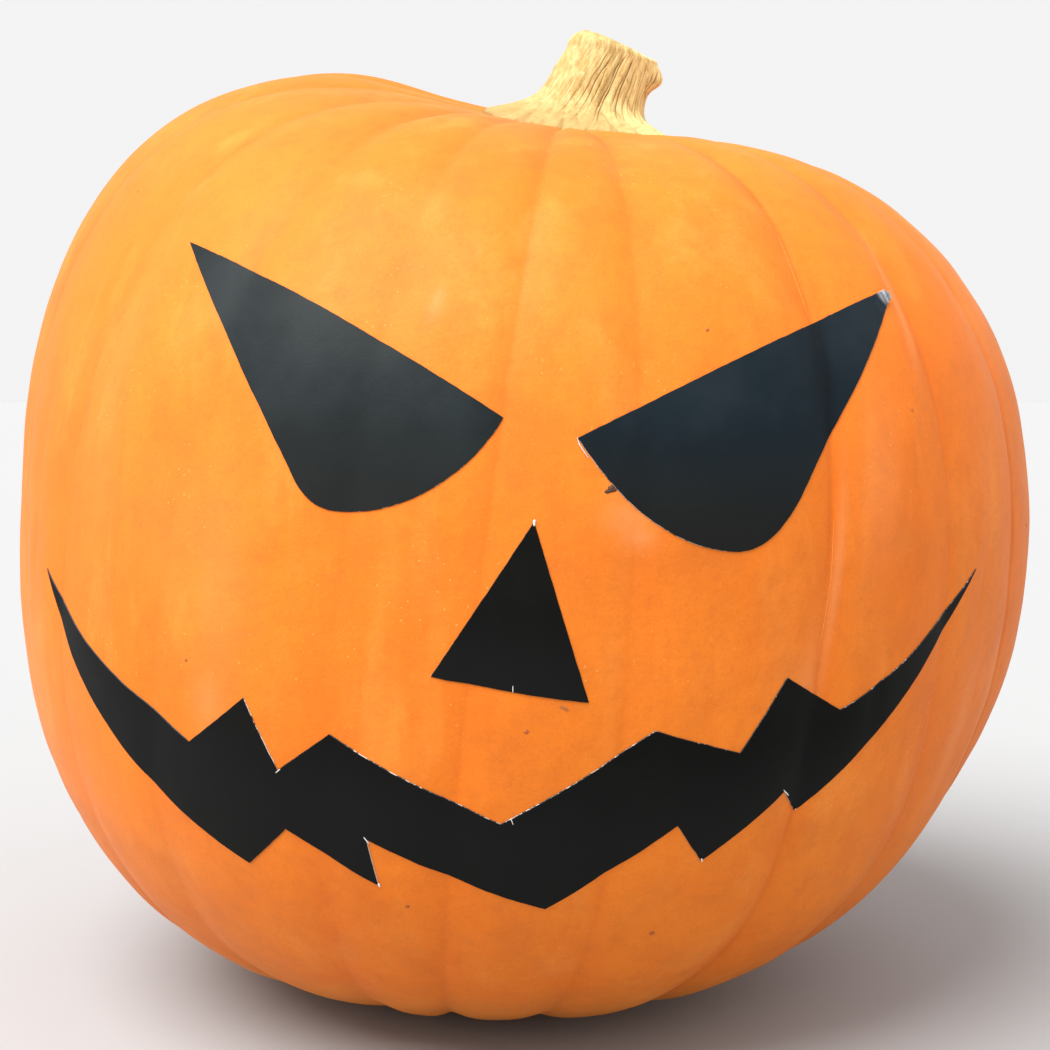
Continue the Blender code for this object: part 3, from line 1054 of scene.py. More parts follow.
@dataclass
class Fruit:
    """The whole pumpkin without its stem."""

    skin: RibbedSkin
    finish: RindFinish = RindFinish()
    steps_per_rib: int = 28
    rows: int = 176
    gathering: float = 0.78
    ground_patch_height: float = 0.035
    ground_patch_cover: float = 0.75
    ground_patch_wave: Wave = Wave(0.25, 0.02, 4.0)
    # painted shade in the grooves at the girth, as a share of its strength near the ends
    groove_shade_at_girth: float = 0.55
    survey_step: float = 1.5
    survey_reach: float = 89.9
    survey_rows: int = 240
    # pale places: rubbed scuffs, and painted light where noted
    scuffs_and_light: tuple[ScuffAndLight, ...] = (
        ScuffAndLight(-12.0, 25.0, 0.7, 1.6, 0.5),
        # painted highlight: pale streaks and a pale band beside the groove under the right eye
        ScuffAndLight(31.2, 3.0, 0.5, 9.0, 0.55),
        ScuffAndLight(29.3, -11.0, 1.2, 7.0, 0.5),
        ScuffAndLight(36.0, 12.0, 2.6, 9.0, 0.30),
        # painted light: paler rind on the lower left and the left cheek, where more light falls
        ScuffAndLight(-64.0, -30.0, 13.0, 13.0, 0.30),
        ScuffAndLight(-74.0, -24.0, 8.0, 10.0, 0.28),
        ScuffAndLight(-49.0, 12.0, 3.5, 16.0, 0.14),
        ScuffAndLight(-30.0, -5.0, 3.0, 10.0, 0.20),
        ScuffAndLight(-48.0, -40.0, 20.0, 11.0, 0.22),
        ScuffAndLight(-37.0, 0.0, 7.0, 9.0, 0.12),
        # broad pale patches on the shoulders
        ScuffAndLight(-45.0, 73.0, 60.0, 9.0, 0.16),
        ScuffAndLight(62.0, 70.0, 40.0, 12.0, 0.22),
        # painted light: paler rind on the right side
        ScuffAndLight(72.0, 35.0, 8.0, 12.0, 0.28),
        ScuffAndLight(60.0, 21.0, 7.0, 9.0, 0.18),
        # small pale marks
        ScuffAndLight(8.5, 7.0, 2.2, 1.6, 0.5),
        ScuffAndLight(10.0, 5.0, 1.6, 1.0, 0.5),
        ScuffAndLight(43.5, 30.0, 0.8, 7.0, 0.5),
        ScuffAndLight(-31.0, -16.0, 1.8, 2.6, 0.35),
        ScuffAndLight(58.0, -14.0, 1.6, 8.0, 0.4),
        ScuffAndLight(131.0, 10.0, 5.0, 3.0, 0.6),
        ScuffAndLight(165.0, -6.0, 2.5, 6.0, 0.5),
        ScuffAndLight(214.0, 22.0, 3.0, 5.0, 0.5),
        # painted highlight: a thin bright line on the left limb
        ScuffAndLight(-86.0, 8.0, 2.0, 9.0, 0.4),
    )

    def rubbed_and_lit(self, azimuth: Points, elevation: Points) -> Points:
        """How pale the rind is painted, by rubbed scuffs and by painted light.

        Args:
            azimuth: in radians.
            elevation: in radians.

        Returns:
            Values from 0 to 1.
        """
        total = np.zeros(azimuth.shape)
        for scuff_and_light in self.scuffs_and_light:
            aside = np.mod(np.degrees(azimuth) - scuff_and_light.azimuth + 180, 360) - 180
            above = np.degrees(elevation) - scuff_and_light.elevation
            total += scuff_and_light.strength * np.exp(-((aside / scuff_and_light.wide) ** 2) - (above / scuff_and_light.high) ** 2)
        return np.clip(total, 0, 1)

    def settle(self) -> None:
        """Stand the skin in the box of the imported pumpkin."""
        turns = np.radians(np.arange(0, 360, self.survey_step))
        tilts = np.radians(np.linspace(-self.survey_reach, self.survey_reach, self.survey_rows))
        azimuth, elevation = np.meshgrid(turns, tilts, indexing="ij")
        distance = self.skin.ungrooved(azimuth, elevation) - self.skin.furrows(azimuth, elevation)[0]
        loose = heading(azimuth, elevation) * distance[..., None]
        points = self.skin.stance.to_row(loose).reshape(-1, 3)
        low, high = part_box("pumpkin")
        middle = (points.min(axis=0) + points.max(axis=0)) / 2
        self.skin.stance.centre = Vector(
            (
                (low[0] + high[0]) / 2 - middle[0],
                (low[1] + high[1]) / 2 - middle[1],
                high[2] - points[:, 2].max(),
            )
        )

    def grid(self) -> tuple[Points, Points]:
        """Azimuths and elevations of the skin's grid, with columns gathered at the grooves.

        Returns:
            Two arrays of columns by rows, in radians.
        """
        ribs = len(self.skin.grooves)
        elevation = np.radians(np.linspace(-90, 90, self.rows + 1))[1:-1]
        columns = []
        for rib in range(ribs):
            low = self.skin.groove_azimuth(rib, elevation)
            high = self.skin.groove_azimuth(rib + 1, elevation)
            for step in range(self.steps_per_rib):
                share = step / self.steps_per_rib
                share -= self.gathering * math.sin(FULL_TURN * share) / FULL_TURN
                columns.append(low + (high - low) * share)
        azimuth = np.array(columns)
        return azimuth, np.broadcast_to(elevation, azimuth.shape)

    def build(self) -> bpy.types.Object:
        """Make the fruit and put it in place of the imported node.

        Returns:
            The finished piece.
        """
        azimuth, elevation = self.grid()
        columns, rows = azimuth.shape
        body = self.skin.place(azimuth, elevation).reshape(-1, 3)
        poles = [self.skin.place(np.zeros(1), np.array([side * math.pi / 2]))[0] for side in (-1, 1)]
        vertices = np.vstack([body, poles])
        low_pole, high_pole = len(body), len(body) + 1
        faces: list[tuple[int, ...]] = []
        for column in range(columns):
            here, after = column * rows, (column + 1) % columns * rows
            faces.append((low_pole, after, here))
            faces.append((high_pole, here + rows - 1, after + rows - 1))
            faces += [
                (here + row, after + row, after + row + 1, here + row + 1) for row in range(rows - 1)
            ]
        piece = new_piece("fruit", vertices, faces, [self.finish.make()])
        # painted shade in the grooves and along their tight creases, stronger away from the girth
        _, near, tight = self.skin.furrows(azimuth, elevation)
        strength = self.groove_shade_at_girth + (1 - self.groove_shade_at_girth) * np.sin(elevation) ** 2
        at_poles = [0.0, 0.0]
        paint(piece, "groove", np.append(near * strength, at_poles))
        paint(piece, "crease", np.append(tight * strength, at_poles))
        # pale places: rubbed scuffs, and painted light
        paint(piece, "scuff_and_light", np.append(self.rubbed_and_lit(azimuth, elevation), at_poles))
        patch = smooth_step(vertices[:, 2], self.ground_patch_height, 0.0)
        patch = patch * (self.ground_patch_cover + self.ground_patch_wave.over(vertices))
        paint(piece, "ground", patch)
        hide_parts("pumpkin")
        return piece


# ------------------------------------------------------------------ the stem


@dataclass(frozen=True)
class Lobe:
    """A tongue of the stem's foot, in growing-frame azimuth, that rises into the wall by height."""

    azimuth: float
    length: float
    sharpness: float
    height: float = 0.0042


@dataclass(frozen=True)
class Knot:
    """The blunt broken point on the side that faces +X, undercut from below."""

    azimuth: float = 94.0
    rise: float = 0.0146
    above: float = 0.0062
    below: float = 0.0030
    size: float = 0.0050
    sharpness: float = 20.0

    def swell(self, angle: Points, rise: Points) -> Points:
        """How far it stands out of the wall.

        Args:
            angle: each column's angle.
            rise: heights above the foot's rim.

        Returns:
            Lengths in metres.
        """
        beside = 1 - np.cos(angle - math.radians(self.azimuth))
        reach = np.where(rise > self.rise, self.above, self.below)
        fall = np.exp(-(((rise - self.rise) / reach) ** 2))
        return self.size * np.exp(-beside * self.sharpness) * fall


@dataclass(frozen=True)
class Crack:
    """A dry crack between two strands, from its low end to its high end."""

    angle: float
    low: float
    high: float
    depth: float
    width: float
    valley: float


@dataclass(frozen=True)
class Cracking:
    """How the stem cracks. Each pair of numbers is the least and how much chance adds to it.

    Ends are shares of the way up. The smooth side is a span of angles in degrees, where cracks are
    shallow and stop early. Cracks wander by degrees.
    """

    count: int = 54
    seed: int = 31
    jitter: float = 0.75
    low: tuple[float, float] = (-0.08, 0.22)
    high: tuple[float, float] = (0.70, 0.30)
    depth: tuple[float, float] = (0.00024, 0.00034)
    width: tuple[float, float] = (0.00015, 0.00010)
    valley: float = 0.00048
    smooth_side: tuple[float, float] = (268.0, 335.0)
    smooth_share: float = 0.35
    smooth_high: float = 0.62
    smooth_depth: tuple[float, float] = (0.45, 0.55)
    low_fade: float = 0.10
    high_fade: float = 0.12
    valley_width: float = 0.0013
    # painted shade in the hollow round each crack
    valley_shade_tone: float = 0.26
    full_tone: float = 0.0005
    wander: Wave = Wave(2.6, 1.0, 4.0)
    wander_pitch: tuple[float, float] = (3.0, 3.7)

    def cracks(self) -> list[Crack]:
        """Cracks round the stem, unevenly spaced and few on the smooth side.

        Returns:
            The cracks, in order of angle.
        """
        chance = np.random.default_rng(self.seed)
        cracks = []
        for number in range(self.count):
            jitter, low, high, depth, width, valley = chance.random(6)
            angle = (number + self.jitter * (jitter - 0.5)) * 360 / self.count
            is_smooth = self.smooth_side[0] < angle < self.smooth_side[1]
            share = self.smooth_share if is_smooth else 1.0
            cracks.append(
                Crack(
                    angle,
                    low=self.low[0] + self.low[1] * low,
                    high=(self.high[0] + self.high[1] * high) * (self.smooth_high if is_smooth else 1.0),
                    depth=(self.depth[0] + self.depth[1] * depth)
                    * (self.smooth_depth[0] + self.smooth_depth[1] * share),
                    width=self.width[0] + self.width[1] * width,
                    valley=self.valley * valley**2 * share,
                )
            )
        return cracks

    def carve(self, straight: Points, climb: Points, around: Points) -> tuple[Points, Points]:
        """The cracks as relief and as tone.

        Args:
            straight: each column's angle, with the stem's twist taken out.
            climb: share of the way up.
            around: the local radius, which turns angles into lengths.

        Returns:
            How far the wall stands out, in metres, and how dark it is painted: the crack itself, and painted
            shade in the hollow round it.
        """
        outward = np.zeros(np.broadcast(straight, climb).shape)
        dark = np.zeros_like(outward)
        along, across = self.wander_pitch
        for number, crack in enumerate(self.cracks()):
            track = np.stack([climb * along, 0 * climb + number * across, 0 * climb], axis=-1)
            turn = straight - math.radians(crack.angle) - np.radians(self.wander.over(track))
            metres = (np.mod(turn + math.pi, FULL_TURN) - math.pi) * around
            ends = smooth_step(climb, crack.low, crack.low + self.low_fade)
            ends = ends * smooth_step(climb, crack.high, crack.high - self.high_fade)
            core = ends * np.exp(-((metres / crack.width) ** 2))
            vale = ends * np.exp(-((metres / self.valley_width) ** 2))
            outward = outward - crack.depth * core - crack.valley * vale
            strength = min(1.0, crack.depth / self.full_tone)
            # painted shade in the hollow round the crack
            tone = self.valley_shade_tone * vale * crack.valley / self.full_tone
            dark = np.maximum(dark, strength * core + tone)
        return outward, dark


@dataclass(frozen=True)
class PaintedLightPatch:
    """A patch of painted light and shade on the stem, round an azimuth and, if rows are given, low down.

    The tone grows to full strength where the cosine of the angle to the azimuth goes from the first
    to the second of its limits, and where the row goes from the first to the second of its rows.
    """

    azimuth: float
    limits: tuple[float, float]
    strength: float
    rows: tuple[float, float] | None = None

    def share(self, angle: Points) -> Points:
        """How much of the tone shows at each angle, from 0 to 1."""
        return smooth_step(np.cos(angle - math.radians(self.azimuth)), *self.limits)

    def fade(self, count: int) -> Points:
        """How much of the tone shows at each of the wall's rows, from 0 to 1."""
        return smooth_step(np.arange(count), *self.rows)[:, None]


@dataclass
class Stem:
    """The dry stem: cracked strands that spread into a foot on the skin, and a sloping cut."""

    skin: RibbedSkin
    finish: StemFinish = StemFinish()
    cracking: Cracking = Cracking()
    knot: Knot = Knot()
    neck_radius: float = 0.0176
    top_radius: float = 0.0137
    waist_start: float = 0.0050
    length: float = 0.0253
    start_x: float = 0.0048
    drift_x: float = 0.0070
    drift_bend: float = 0.85
    cut_slope: float = 19.0
    near_rounding: float = 0.0016
    far_rounding: float = 0.0056
    foot_flare: float = 0.0045
    flare_height: float = 0.0042
    tight_side: float = 0.45
    tight_limits: tuple[float, float] = (0.3, 1.0)
    collar_height: float = 0.0022
    collar_share: float = 0.50
    hug_height: float = 0.009
    twist: float = 20.0
    embed: float = 0.0007
    embed_climb: float = 0.010
    sole_depth: float = 0.003
    steps_round: int = 640
    steps_up: int = 120
    row_gathering: float = 1.35
    rounding_rings: int = 12
    cut_rings: int = 18
    seat_rounds: int = 6
    fringe: Wave = Wave(0.16, 1.0, 8.0, 3)
    fringe_pitch: float = 6.0
    fibres: Wave = Wave(1.0, 1.0, 1.0, 3)
    fibre_height: float = 0.00022
    fibre_pitch: tuple[float, float] = (14.0, 2.2)
    fibre_tone: float = 0.25
    strands: Wave = Wave(0.00065, 1.0, 6.0)
    strand_pitch: tuple[float, float] = (3.0, 1.4)
    cut_roughness: Wave = Wave(0.0004, 0.0030, 6.0, 3)
    pith_depth: float = 0.0009
    pith_limits: tuple[float, float] = (0.40, 0.15)
    growth_ring_height: float = 0.0002
    growth_ring_pitch: float = 26.0
    cut_edge_power: int = 6
    # painted light: the side facing +X, turned from the key light, is painted lighter
    painted_light: PaintedLightPatch = PaintedLightPatch(88.0, (0.05, 0.95), 0.85)
    # the foot grows darker towards its rim over these rows
    foot_rows: tuple[float, float] = (52.0, 20.0)
    foot_strength: float = 0.8
    shaded: PaintedLightPatch = PaintedLightPatch(115.0, (0.80, 0.95), 0.8)
    shaded_power: int = 4
    # painted shade: the tongue tip on the -X side, low down, painted dark for the shaded gap under it
    painted_tip_shade: PaintedLightPatch = PaintedLightPatch(-80.0, (0.93, 0.995), 0.85, (16.0, 3.0))
    # the middle of the cut gets a little of the crack tone and of the painted light
    pith_tones: dict[str, float] = field(default_factory=lambda: {"valley": 0.2, "painted_light": 0.2})
    lobes: tuple[Lobe, ...] = (
        Lobe(-80, 0.0100, 2.6),
        Lobe(118, 0.0085, 26.0, height=0.0018),
        Lobe(18, 0.0095, 2.2),
        Lobe(46, 0.0060, 9.0, height=0.0028),
        Lobe(200, 0.0030, 4.0),
    )

    def skin_height(self, across: Points, deep: Points) -> Points:
        """Height of the skin over a point near the growing axis.

        Args:
            across: growing-frame x.
            deep: growing-frame y.

        Returns:
            Growing-frame z.
        """
        height = np.full(np.shape(across), self.skin.top_radius)
        for _ in range(self.seat_rounds):
            azimuth = np.arctan2(across, -deep)
            elevation = np.arctan2(height, np.hypot(across, deep))
            distance = self.skin.ungrooved(azimuth, elevation) - self.skin.furrows(azimuth, elevation)[0]
            height = np.sqrt(distance**2 - across**2 - deep**2)
        return height

    def around_and_up(self, angle: Points, climb: Points, pitch: tuple[float, float]) -> Points:
        """Places in a pattern that runs round and up the wall.

        Args:
            angle: angles round the stem.
            climb: share of the way up.
            pitch: how fast the pattern changes round and up.

        Returns:
            Positions for lumps().
        """
        round_pitch, up_pitch = pitch
        return np.stack(
            [np.cos(angle) * round_pitch, np.sin(angle) * round_pitch, climb * up_pitch + 0 * angle],
            axis=-1,
        )

    def relief(self, angle: Points, climb: Points, around: Points) -> tuple[Points, Points]:
        """Strands, fibres and cracks round the stem.

        Args:
            angle: each column's angle.
            climb: share of the way up.
            around: the local radius, which turns angles into lengths.

        Returns:
            How far the wall stands out, in metres, and how dark it is painted from 0 to 1: the cracks,
            painted shade in the hollows round them, and darker fibre dips.
        """
        straight = angle - math.radians(self.twist) * climb
        outward, dark = self.cracking.carve(straight, climb, around)
        fibres = self.fibres.over(self.around_and_up(straight, climb, self.fibre_pitch))
        strands = self.strands.over(self.around_and_up(straight, climb, self.strand_pitch))
        outward = outward + self.fibre_height * fibres + strands
        return outward, np.clip(dark + self.fibre_tone * np.clip(-fibres, 0, 1), 0, 1)

    def flare(self, angle: Points, rise: Points) -> Points:
        """How far the foot spreads beyond the neck.

        Args:
            angle: each column's angle, as a row.
            rise: heights above the foot's rim, as a column.

        Returns:
            Lengths in metres.
        """
        tight = 1 - self.tight_side * smooth_step(np.sin(angle), *self.tight_limits)
        flare = self.foot_flare * np.exp(-((rise / (self.flare_height * tight)) ** 2))
        for lobe in self.lobes:
            beside = 1 - np.cos(angle - math.radians(lobe.azimuth))
            flare = flare + lobe.length * np.exp(-lobe.sharpness * beside - (rise / lobe.height) ** 2)
        fringe = self.around_and_up(angle, 0, (self.fringe_pitch, 0.0))
        return flare * (1 + self.fringe.over(fringe))

    def wall(self, angle: Points) -> tuple[Points, Points]:
        """Rings of points from the foot's rim to the start of the rounded edge.

        Args:
            angle: each column's angle, as a row.

        Returns:
            Points in the growing frame, and the crack tone of each, with painted shade round the cracks.
        """
        top_across = (self.top_radius - self.rounding(angle)) * np.sin(angle)
        full_rise = self.length - top_across * math.tan(math.radians(self.cut_slope)) - self.rounding(angle)
        climb = np.linspace(0, 1, self.steps_up)[:, None] ** self.row_gathering
        rise = climb * full_rise
        waist = smooth_step(rise, self.waist_start, self.length)
        radius = self.neck_radius + (self.top_radius - self.neck_radius) * waist
        radius = radius + self.flare(angle, rise)
        outward, dark = self.relief(angle, climb, radius)
        collar = 1 - self.collar_share * np.exp(-((rise / self.collar_height) ** 2))
        radius = radius + outward * collar + self.knot.swell(angle, rise)
        middle = self.start_x + self.drift_x * (rise / self.length) ** self.drift_bend
        across = middle + radius * np.sin(angle)
        deep = -radius * np.cos(angle)
        base = self.skin_height(across, deep)
        seat = float(self.skin_height(np.array([self.start_x]), np.array([0.0]))[0])
        hug = np.exp(-((rise / self.hug_height) ** 2))
        lip = smooth_step(climb, 0.0, self.embed_climb)
        height = base * hug + seat * (1 - hug) + rise - self.embed * (1 - lip)
        return np.stack([across, deep, height], axis=-1), dark * collar

    def rounding(self, angle: Points) -> Points:
        """Radius of the worn edge of the cut, larger on the side that faces -X."""
        return self.near_rounding + (self.far_rounding - self.near_rounding) * (0.5 - 0.5 * np.sin(angle))

    def cut(self, rim: Points, angle: Points) -> Points:
        """Rings from the wall's top over the rounded edge to the middle of the cut.

        Args:
            rim: the wall's last ring.
            angle: each column's angle, as a row.

        Returns:
            Rings of points in the growing frame.
        """
        rounding = self.rounding(angle)[0][:, None]
        inward = rim.mean(axis=0) - rim
        inward[:, 2] = 0
        inward /= np.linalg.norm(inward, axis=1, keepdims=True)
        rings = []
        for step in range(1, self.rounding_rings + 1):
            bend = math.pi / 2 * step / self.rounding_rings
            up = np.array([0, 0, 1.0]) * math.sin(bend)
            rings.append(rim + rounding * (inward * (1 - math.cos(bend)) + up))
        edge = rings[-1]
        centre = edge.mean(axis=0)
        for step in range(1, self.cut_rings):
            share = 1 - step / self.cut_rings
            ring = centre + (edge - centre) * share
            pith = self.pith_depth * float(smooth_step(share, *self.pith_limits))
            pith += self.growth_ring_height * math.sin(share * self.growth_ring_pitch)
            rough = self.cut_roughness.over(ring)
            ring[:, 2] += (rough - pith) * (1 - share**self.cut_edge_power)
            rings.append(ring)
        return np.array(rings)

    def tones(self, angle: Points, dark: Points, turns: int) -> dict[str, Points]:
        """The tones that the stem's finish reads, by name: painted shade round the cracks, painted light on
        the side turned from the key light, a darker foot, and painted shade on the tongue behind and at one
        tongue's tip.

        Args:
            angle: each column's angle, as a row.
            dark: the wall's crack tones, with painted shade in the hollows round the cracks.
            turns: how many rings the whole stem has.

        Returns:
            For each name, a value for every point of every ring.
        """
        height, around = dark.shape
        names = ("valley", "painted_light", "foot", "shaded", "tip")
        tones = {name: np.zeros((turns, around)) for name in names}
        tones["valley"][:height] = dark
        fading = np.linspace(1, 0, self.rounding_rings)[:, None] ** 2
        tones["valley"][height : height + self.rounding_rings] = dark[-1] * fading
        # painted light on the side turned from the key light; the foot's darker tone gives way to it
        tones["painted_light"][:] = self.painted_light.strength * self.painted_light.share(angle)
        # darker towards the foot's rim, except on the side painted lighter
        low = smooth_step(np.arange(height), *self.foot_rows)[:, None]
        tones["foot"][:height] = self.foot_strength * low * (1 - tones["painted_light"][0])
        down = np.linspace(1, 0, height)[:, None] ** self.shaded_power
        tones["shaded"][:height] = self.shaded.strength * self.shaded.share(angle) * down
        # painted shade at the tip of the tongue on the -X side
        painted_tip_shade = self.painted_tip_shade.strength * self.painted_tip_shade.share(angle)
        tones["tip"][:height] = painted_tip_shade * self.painted_tip_shade.fade(height)
        return tones

    def build(self) -> bpy.types.Object:
        """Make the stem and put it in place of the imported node.

        Returns:
            The finished piece.
        """
        angle = np.linspace(0, FULL_TURN, self.steps_round, endpoint=False)[None, :]
        wall, dark = self.wall(angle)
        cut = self.cut(wall[-1], angle)
        grown = np.vstack([wall, cut])
        turns, around = grown.shape[:2]
        top, bottom = turns * around, turns * around + 1
        sole = grown[0].mean(axis=0) - np.array([0, 0, self.sole_depth])
        middle = cut[-1].mean(axis=0)
        vertices = self.skin.stance.to_row(np.vstack([grown.reshape(-1, 3), [middle], [sole]]))
        faces: list[tuple[int, ...]] = []
        for column in range(around):
            after = (column + 1) % around
            faces.append((bottom, after, column))
            faces.append((top, (turns - 1) * around + column, (turns - 1) * around + after))
            for ring in range(turns - 1):
                low, high = ring * around, (ring + 1) * around
                faces.append((low + column, low + after, high + after, high + column))
        piece = new_piece("dry_stem", vertices, faces, [self.finish.make()])
        for name, tone in self.tones(angle, dark, turns).items():
            pith = self.pith_tones.get(name, 0.0)
            paint(piece, name, np.append(tone.ravel(), [pith, 0.0]))
        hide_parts("stem")
        return piece


# ------------------------------------------------------------------ the film


@dataclass(frozen=True)
class Snip:
    """One cut to the next corner, straight or, with two handles, curved. Millimetres.

    Core is how much of the film's white core shows along it, from 0 to 1.
    """

    to: Flat
    by: tuple[Flat, Flat] | None = None
    core: float = 0.35

    def points(self, start: Flat, step: float) -> list[Flat]:
        """Points after start and up to the corner.

        Args:
            start: where the cut begins.
            step: the distance between points.

        Returns:
            The points, in millimetres.
        """
        pieces = max(2, math.ceil(math.dist(start, self.to) / step))
        first, second = self.by or (
            tuple(a + (b - a) / 3 for a, b in zip(start, self.to)),
            tuple(a + (b - a) * 2 / 3 for a, b in zip(start, self.to)),
        )
        points = []
        for piece in range(1, pieces + 1):
            t = piece / pieces
            s = 1 - t
            weights = (s**3, 3 * s * s * t, 3 * s * t * t, t**3)
            knots = (start, first, second, self.to)
            points.append(tuple(sum(w * knot[axis] for w, knot in zip(weights, knots)) for axis in (0, 1)))
        return points


@dataclass(frozen=True)
class Tip:
    """A corner of the film that has curled up and creased, in millimetres on the sheet."""

    place: Flat
    reach: float
    lift: float
    crease: float = 0.7


class FacePart(Enum):
    """The four pieces of film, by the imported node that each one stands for."""

    EYE_LEFT = "eye_left"
    EYE_RIGHT = "eye_right"
    NOSE = "nose"
    MOUTH = "mouth"


@dataclass
class Film:
    """A piece of film cut from flat sheet and smoothed down on the skin."""

    skin: RibbedSkin
    part: FacePart
    slot: str
    anchor: Flat
    start: Flat
    snips: tuple[Snip, ...]
    finish: FilmFinish
    edge_finish: bpy.types.Material
    thickness: float = 0.00022
    bedding: float = 0.00010
    edge_slope: float = 0.06
    core_slope: float = 0.08
    edge_step: float = 1.3
    raggedness: float = 0.10
    waver_pitch: float = 0.45
    waver_shift: float = 40.5
    calm_reach: float = 3.0
    cell: float = 2.6
    fine_cell: float = 0.6
    cut_offset: float = 0.013
    low_fade: tuple[float, float] = (12.0, -24.0)
    # how tightly the film's painted shade hugs a groove's floor
    groove_shade_tightness: float = 4.0
    curl_power: float = 1.6
    fold_pitch: Flat = (3.1, 1.7)
    # where the pale tone of bare film and painted glint starts and is full
    bare_and_glint_reach: tuple[float, float] = (0.20, 0.60)
    tips: tuple[Tip, ...] = ()

    def outline(self) -> tuple[list[Flat], list[float]]:
        """The cut outline in millimetres, with the small waver of a hand-held knife.

        Returns:
            Points in order round the piece, and how much core shows at each.
        """
        points = [self.start]
        cores = [self.snips[0].core]
        corners = [self.start]
        for snip in self.snips:
            added = snip.points(points[-1], self.edge_step)
            points += added
            cores += [snip.core] * len(added)
            corners.append(snip.to)
        points.pop()
        cores.pop()
        wavered = []
        for x, y in points:
            calm = min(1.0, min(math.dist((x, y), corner) for corner in corners) / self.calm_reach)
            waver = self.raggedness * calm
            pattern = Vector((x * self.waver_pitch, y * self.waver_pitch, len(self.snips)))
            across = noise.noise(pattern) * waver
            upward = noise.noise(pattern + Vector((0, 0, self.waver_shift))) * waver
            wavered.append((x + across, y + upward))
        return wavered, cores

    def sheet(self, outline: list[Flat]) -> bmesh.types.BMesh:
        """The flat piece, divided finely enough to follow the skin and its curled tips.

        Args:
            outline: the piece's outline, in millimetres.

        Returns:
            A flat mesh in millimetres.
        """
        sheet = bmesh.new()
        sheet.faces.new([sheet.verts.new((x, y, 0)) for x, y in outline])
        low = [min(point[axis] for point in outline) for axis in (0, 1)]
        high = [max(point[axis] for point in outline) for axis in (0, 1)]
        self.divide(sheet, sheet.faces[:], low, high, self.cell)
        for tip in self.tips:
            middle = Vector((*tip.place, 0))
            near = [face for face in sheet.faces if (face.calc_center_median() - middle).length < tip.reach]
            low = [value - tip.reach for value in tip.place]
            high = [value + tip.reach for value in tip.place]
            self.divide(sheet, near, low, high, self.fine_cell)
        bmesh.ops.recalc_face_normals(sheet, faces=sheet.faces)
        if sum(face.normal.z * face.calc_area() for face in sheet.faces) < 0:
            bmesh.ops.reverse_faces(sheet, faces=sheet.faces)
        sheet.verts.index_update()
        return sheet

    def divide(
        self, sheet: bmesh.types.BMesh, faces: list, low: list[float], high: list[float], cell: float
    ) -> None:
        """Cut faces of the sheet along evenly spaced lines, both ways.

        Args:
            sheet: the flat mesh.
            faces: which of its faces to cut.
            low: the lowest x and y to cut at, in millimetres.
            high: the highest x and y to cut at, in millimetres.
            cell: the distance between lines, in millimetres.
        """
        for axis in (0, 1):
            normal = Vector((1 - axis, axis, 0))
            for number in range(math.ceil(low[axis] / cell), math.floor(high[axis] / cell) + 1):
                edges = list(dict.fromkeys(edge for face in faces for edge in face.edges))
                corners = list(dict.fromkeys(vertex for face in faces for vertex in face.verts))
                cut = bmesh.ops.bisect_plane(
                    sheet,
                    geom=corners + edges + faces,
                    plane_co=normal * (number * cell + self.cut_offset),
                    plane_no=normal,
                )
                faces = [item for item in cut["geom"] if isinstance(item, bmesh.types.BMFace)]

    def lifted(self, flat: Points) -> tuple[Points, Points]:
        """How far each point stands off the skin, and how pale its curled tip is painted: bare film, and
        painted glint on its folds.

        Args:
            flat: points in millimetres.

        Returns:
            Lifts in metres, and the pale tone of bare film and painted glint from 0 to 1.
        """
        lift = np.zeros(len(flat))
        bare_and_glint = np.zeros(len(flat))
        for tip in self.tips:
            near = np.clip(1 - np.linalg.norm(flat - np.array(tip.place), axis=1) / tip.reach, 0, 1)
            folds = 0.5 + 0.5 * np.sin(flat[:, 0] * self.fold_pitch[0] + flat[:, 1] * self.fold_pitch[1])
            lift += tip.lift * near**self.curl_power * (1 - tip.crease + tip.crease * folds)
            bare_and_glint += smooth_step(near, *self.bare_and_glint_reach) * (1 - tip.crease + tip.crease * folds**2)
        return lift, np.clip(bare_and_glint, 0, 1)

    def build(self) -> bpy.types.Object:
        """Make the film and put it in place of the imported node.

        Returns:
            The finished piece.
        """
        outline, cores = self.outline()
        sheet = self.sheet(outline)
        flat = np.array([vertex.co[:2] for vertex in sheet.verts])
        away = np.linalg.norm(flat[:, None, :] - np.array(outline)[None, :, :], axis=2)
        core = np.array(cores)[away.argmin(axis=1)]
        lift, bare_and_glint = self.lifted(flat)
        azimuth, elevation = self.skin.wrap(flat, *self.anchor)
        top = self.skin.place(azimuth, elevation, self.bedding + self.thickness + lift)
        border = [edge for edge in sheet.edges if edge.is_boundary]
        outward = np.zeros_like(flat)
        for edge in border:
            face = edge.link_faces[0]
            along = edge.verts[1].co - edge.verts[0].co
            aside = Vector((along.y, -along.x, 0))
            if aside.dot(face.calc_center_median() - edge.verts[0].co) > 0:
                aside.negate()
            for vertex in edge.verts:
                outward[vertex.index] += np.array(aside.normalized()[:2])
        size = np.linalg.norm(outward, axis=1, keepdims=True)
        slope = (self.edge_slope + self.core_slope * core[:, None]) * (size > 0)
        spread = flat + outward / np.maximum(size, TINY) * slope
        azimuth, elevation = self.skin.wrap(spread, *self.anchor)
        bottom = self.skin.place(azimuth, elevation, self.bedding / 2 + lift)
        count = len(flat)
        faces = [tuple(vertex.index for vertex in face.verts) for face in sheet.faces]
        slots = [0] * len(faces)
        under = [tuple(reversed([number + count for number in face])) for face in faces]
        faces += under
        slots += [0] * len(under)
        for edge in border:
            loop = edge.link_loops[0]
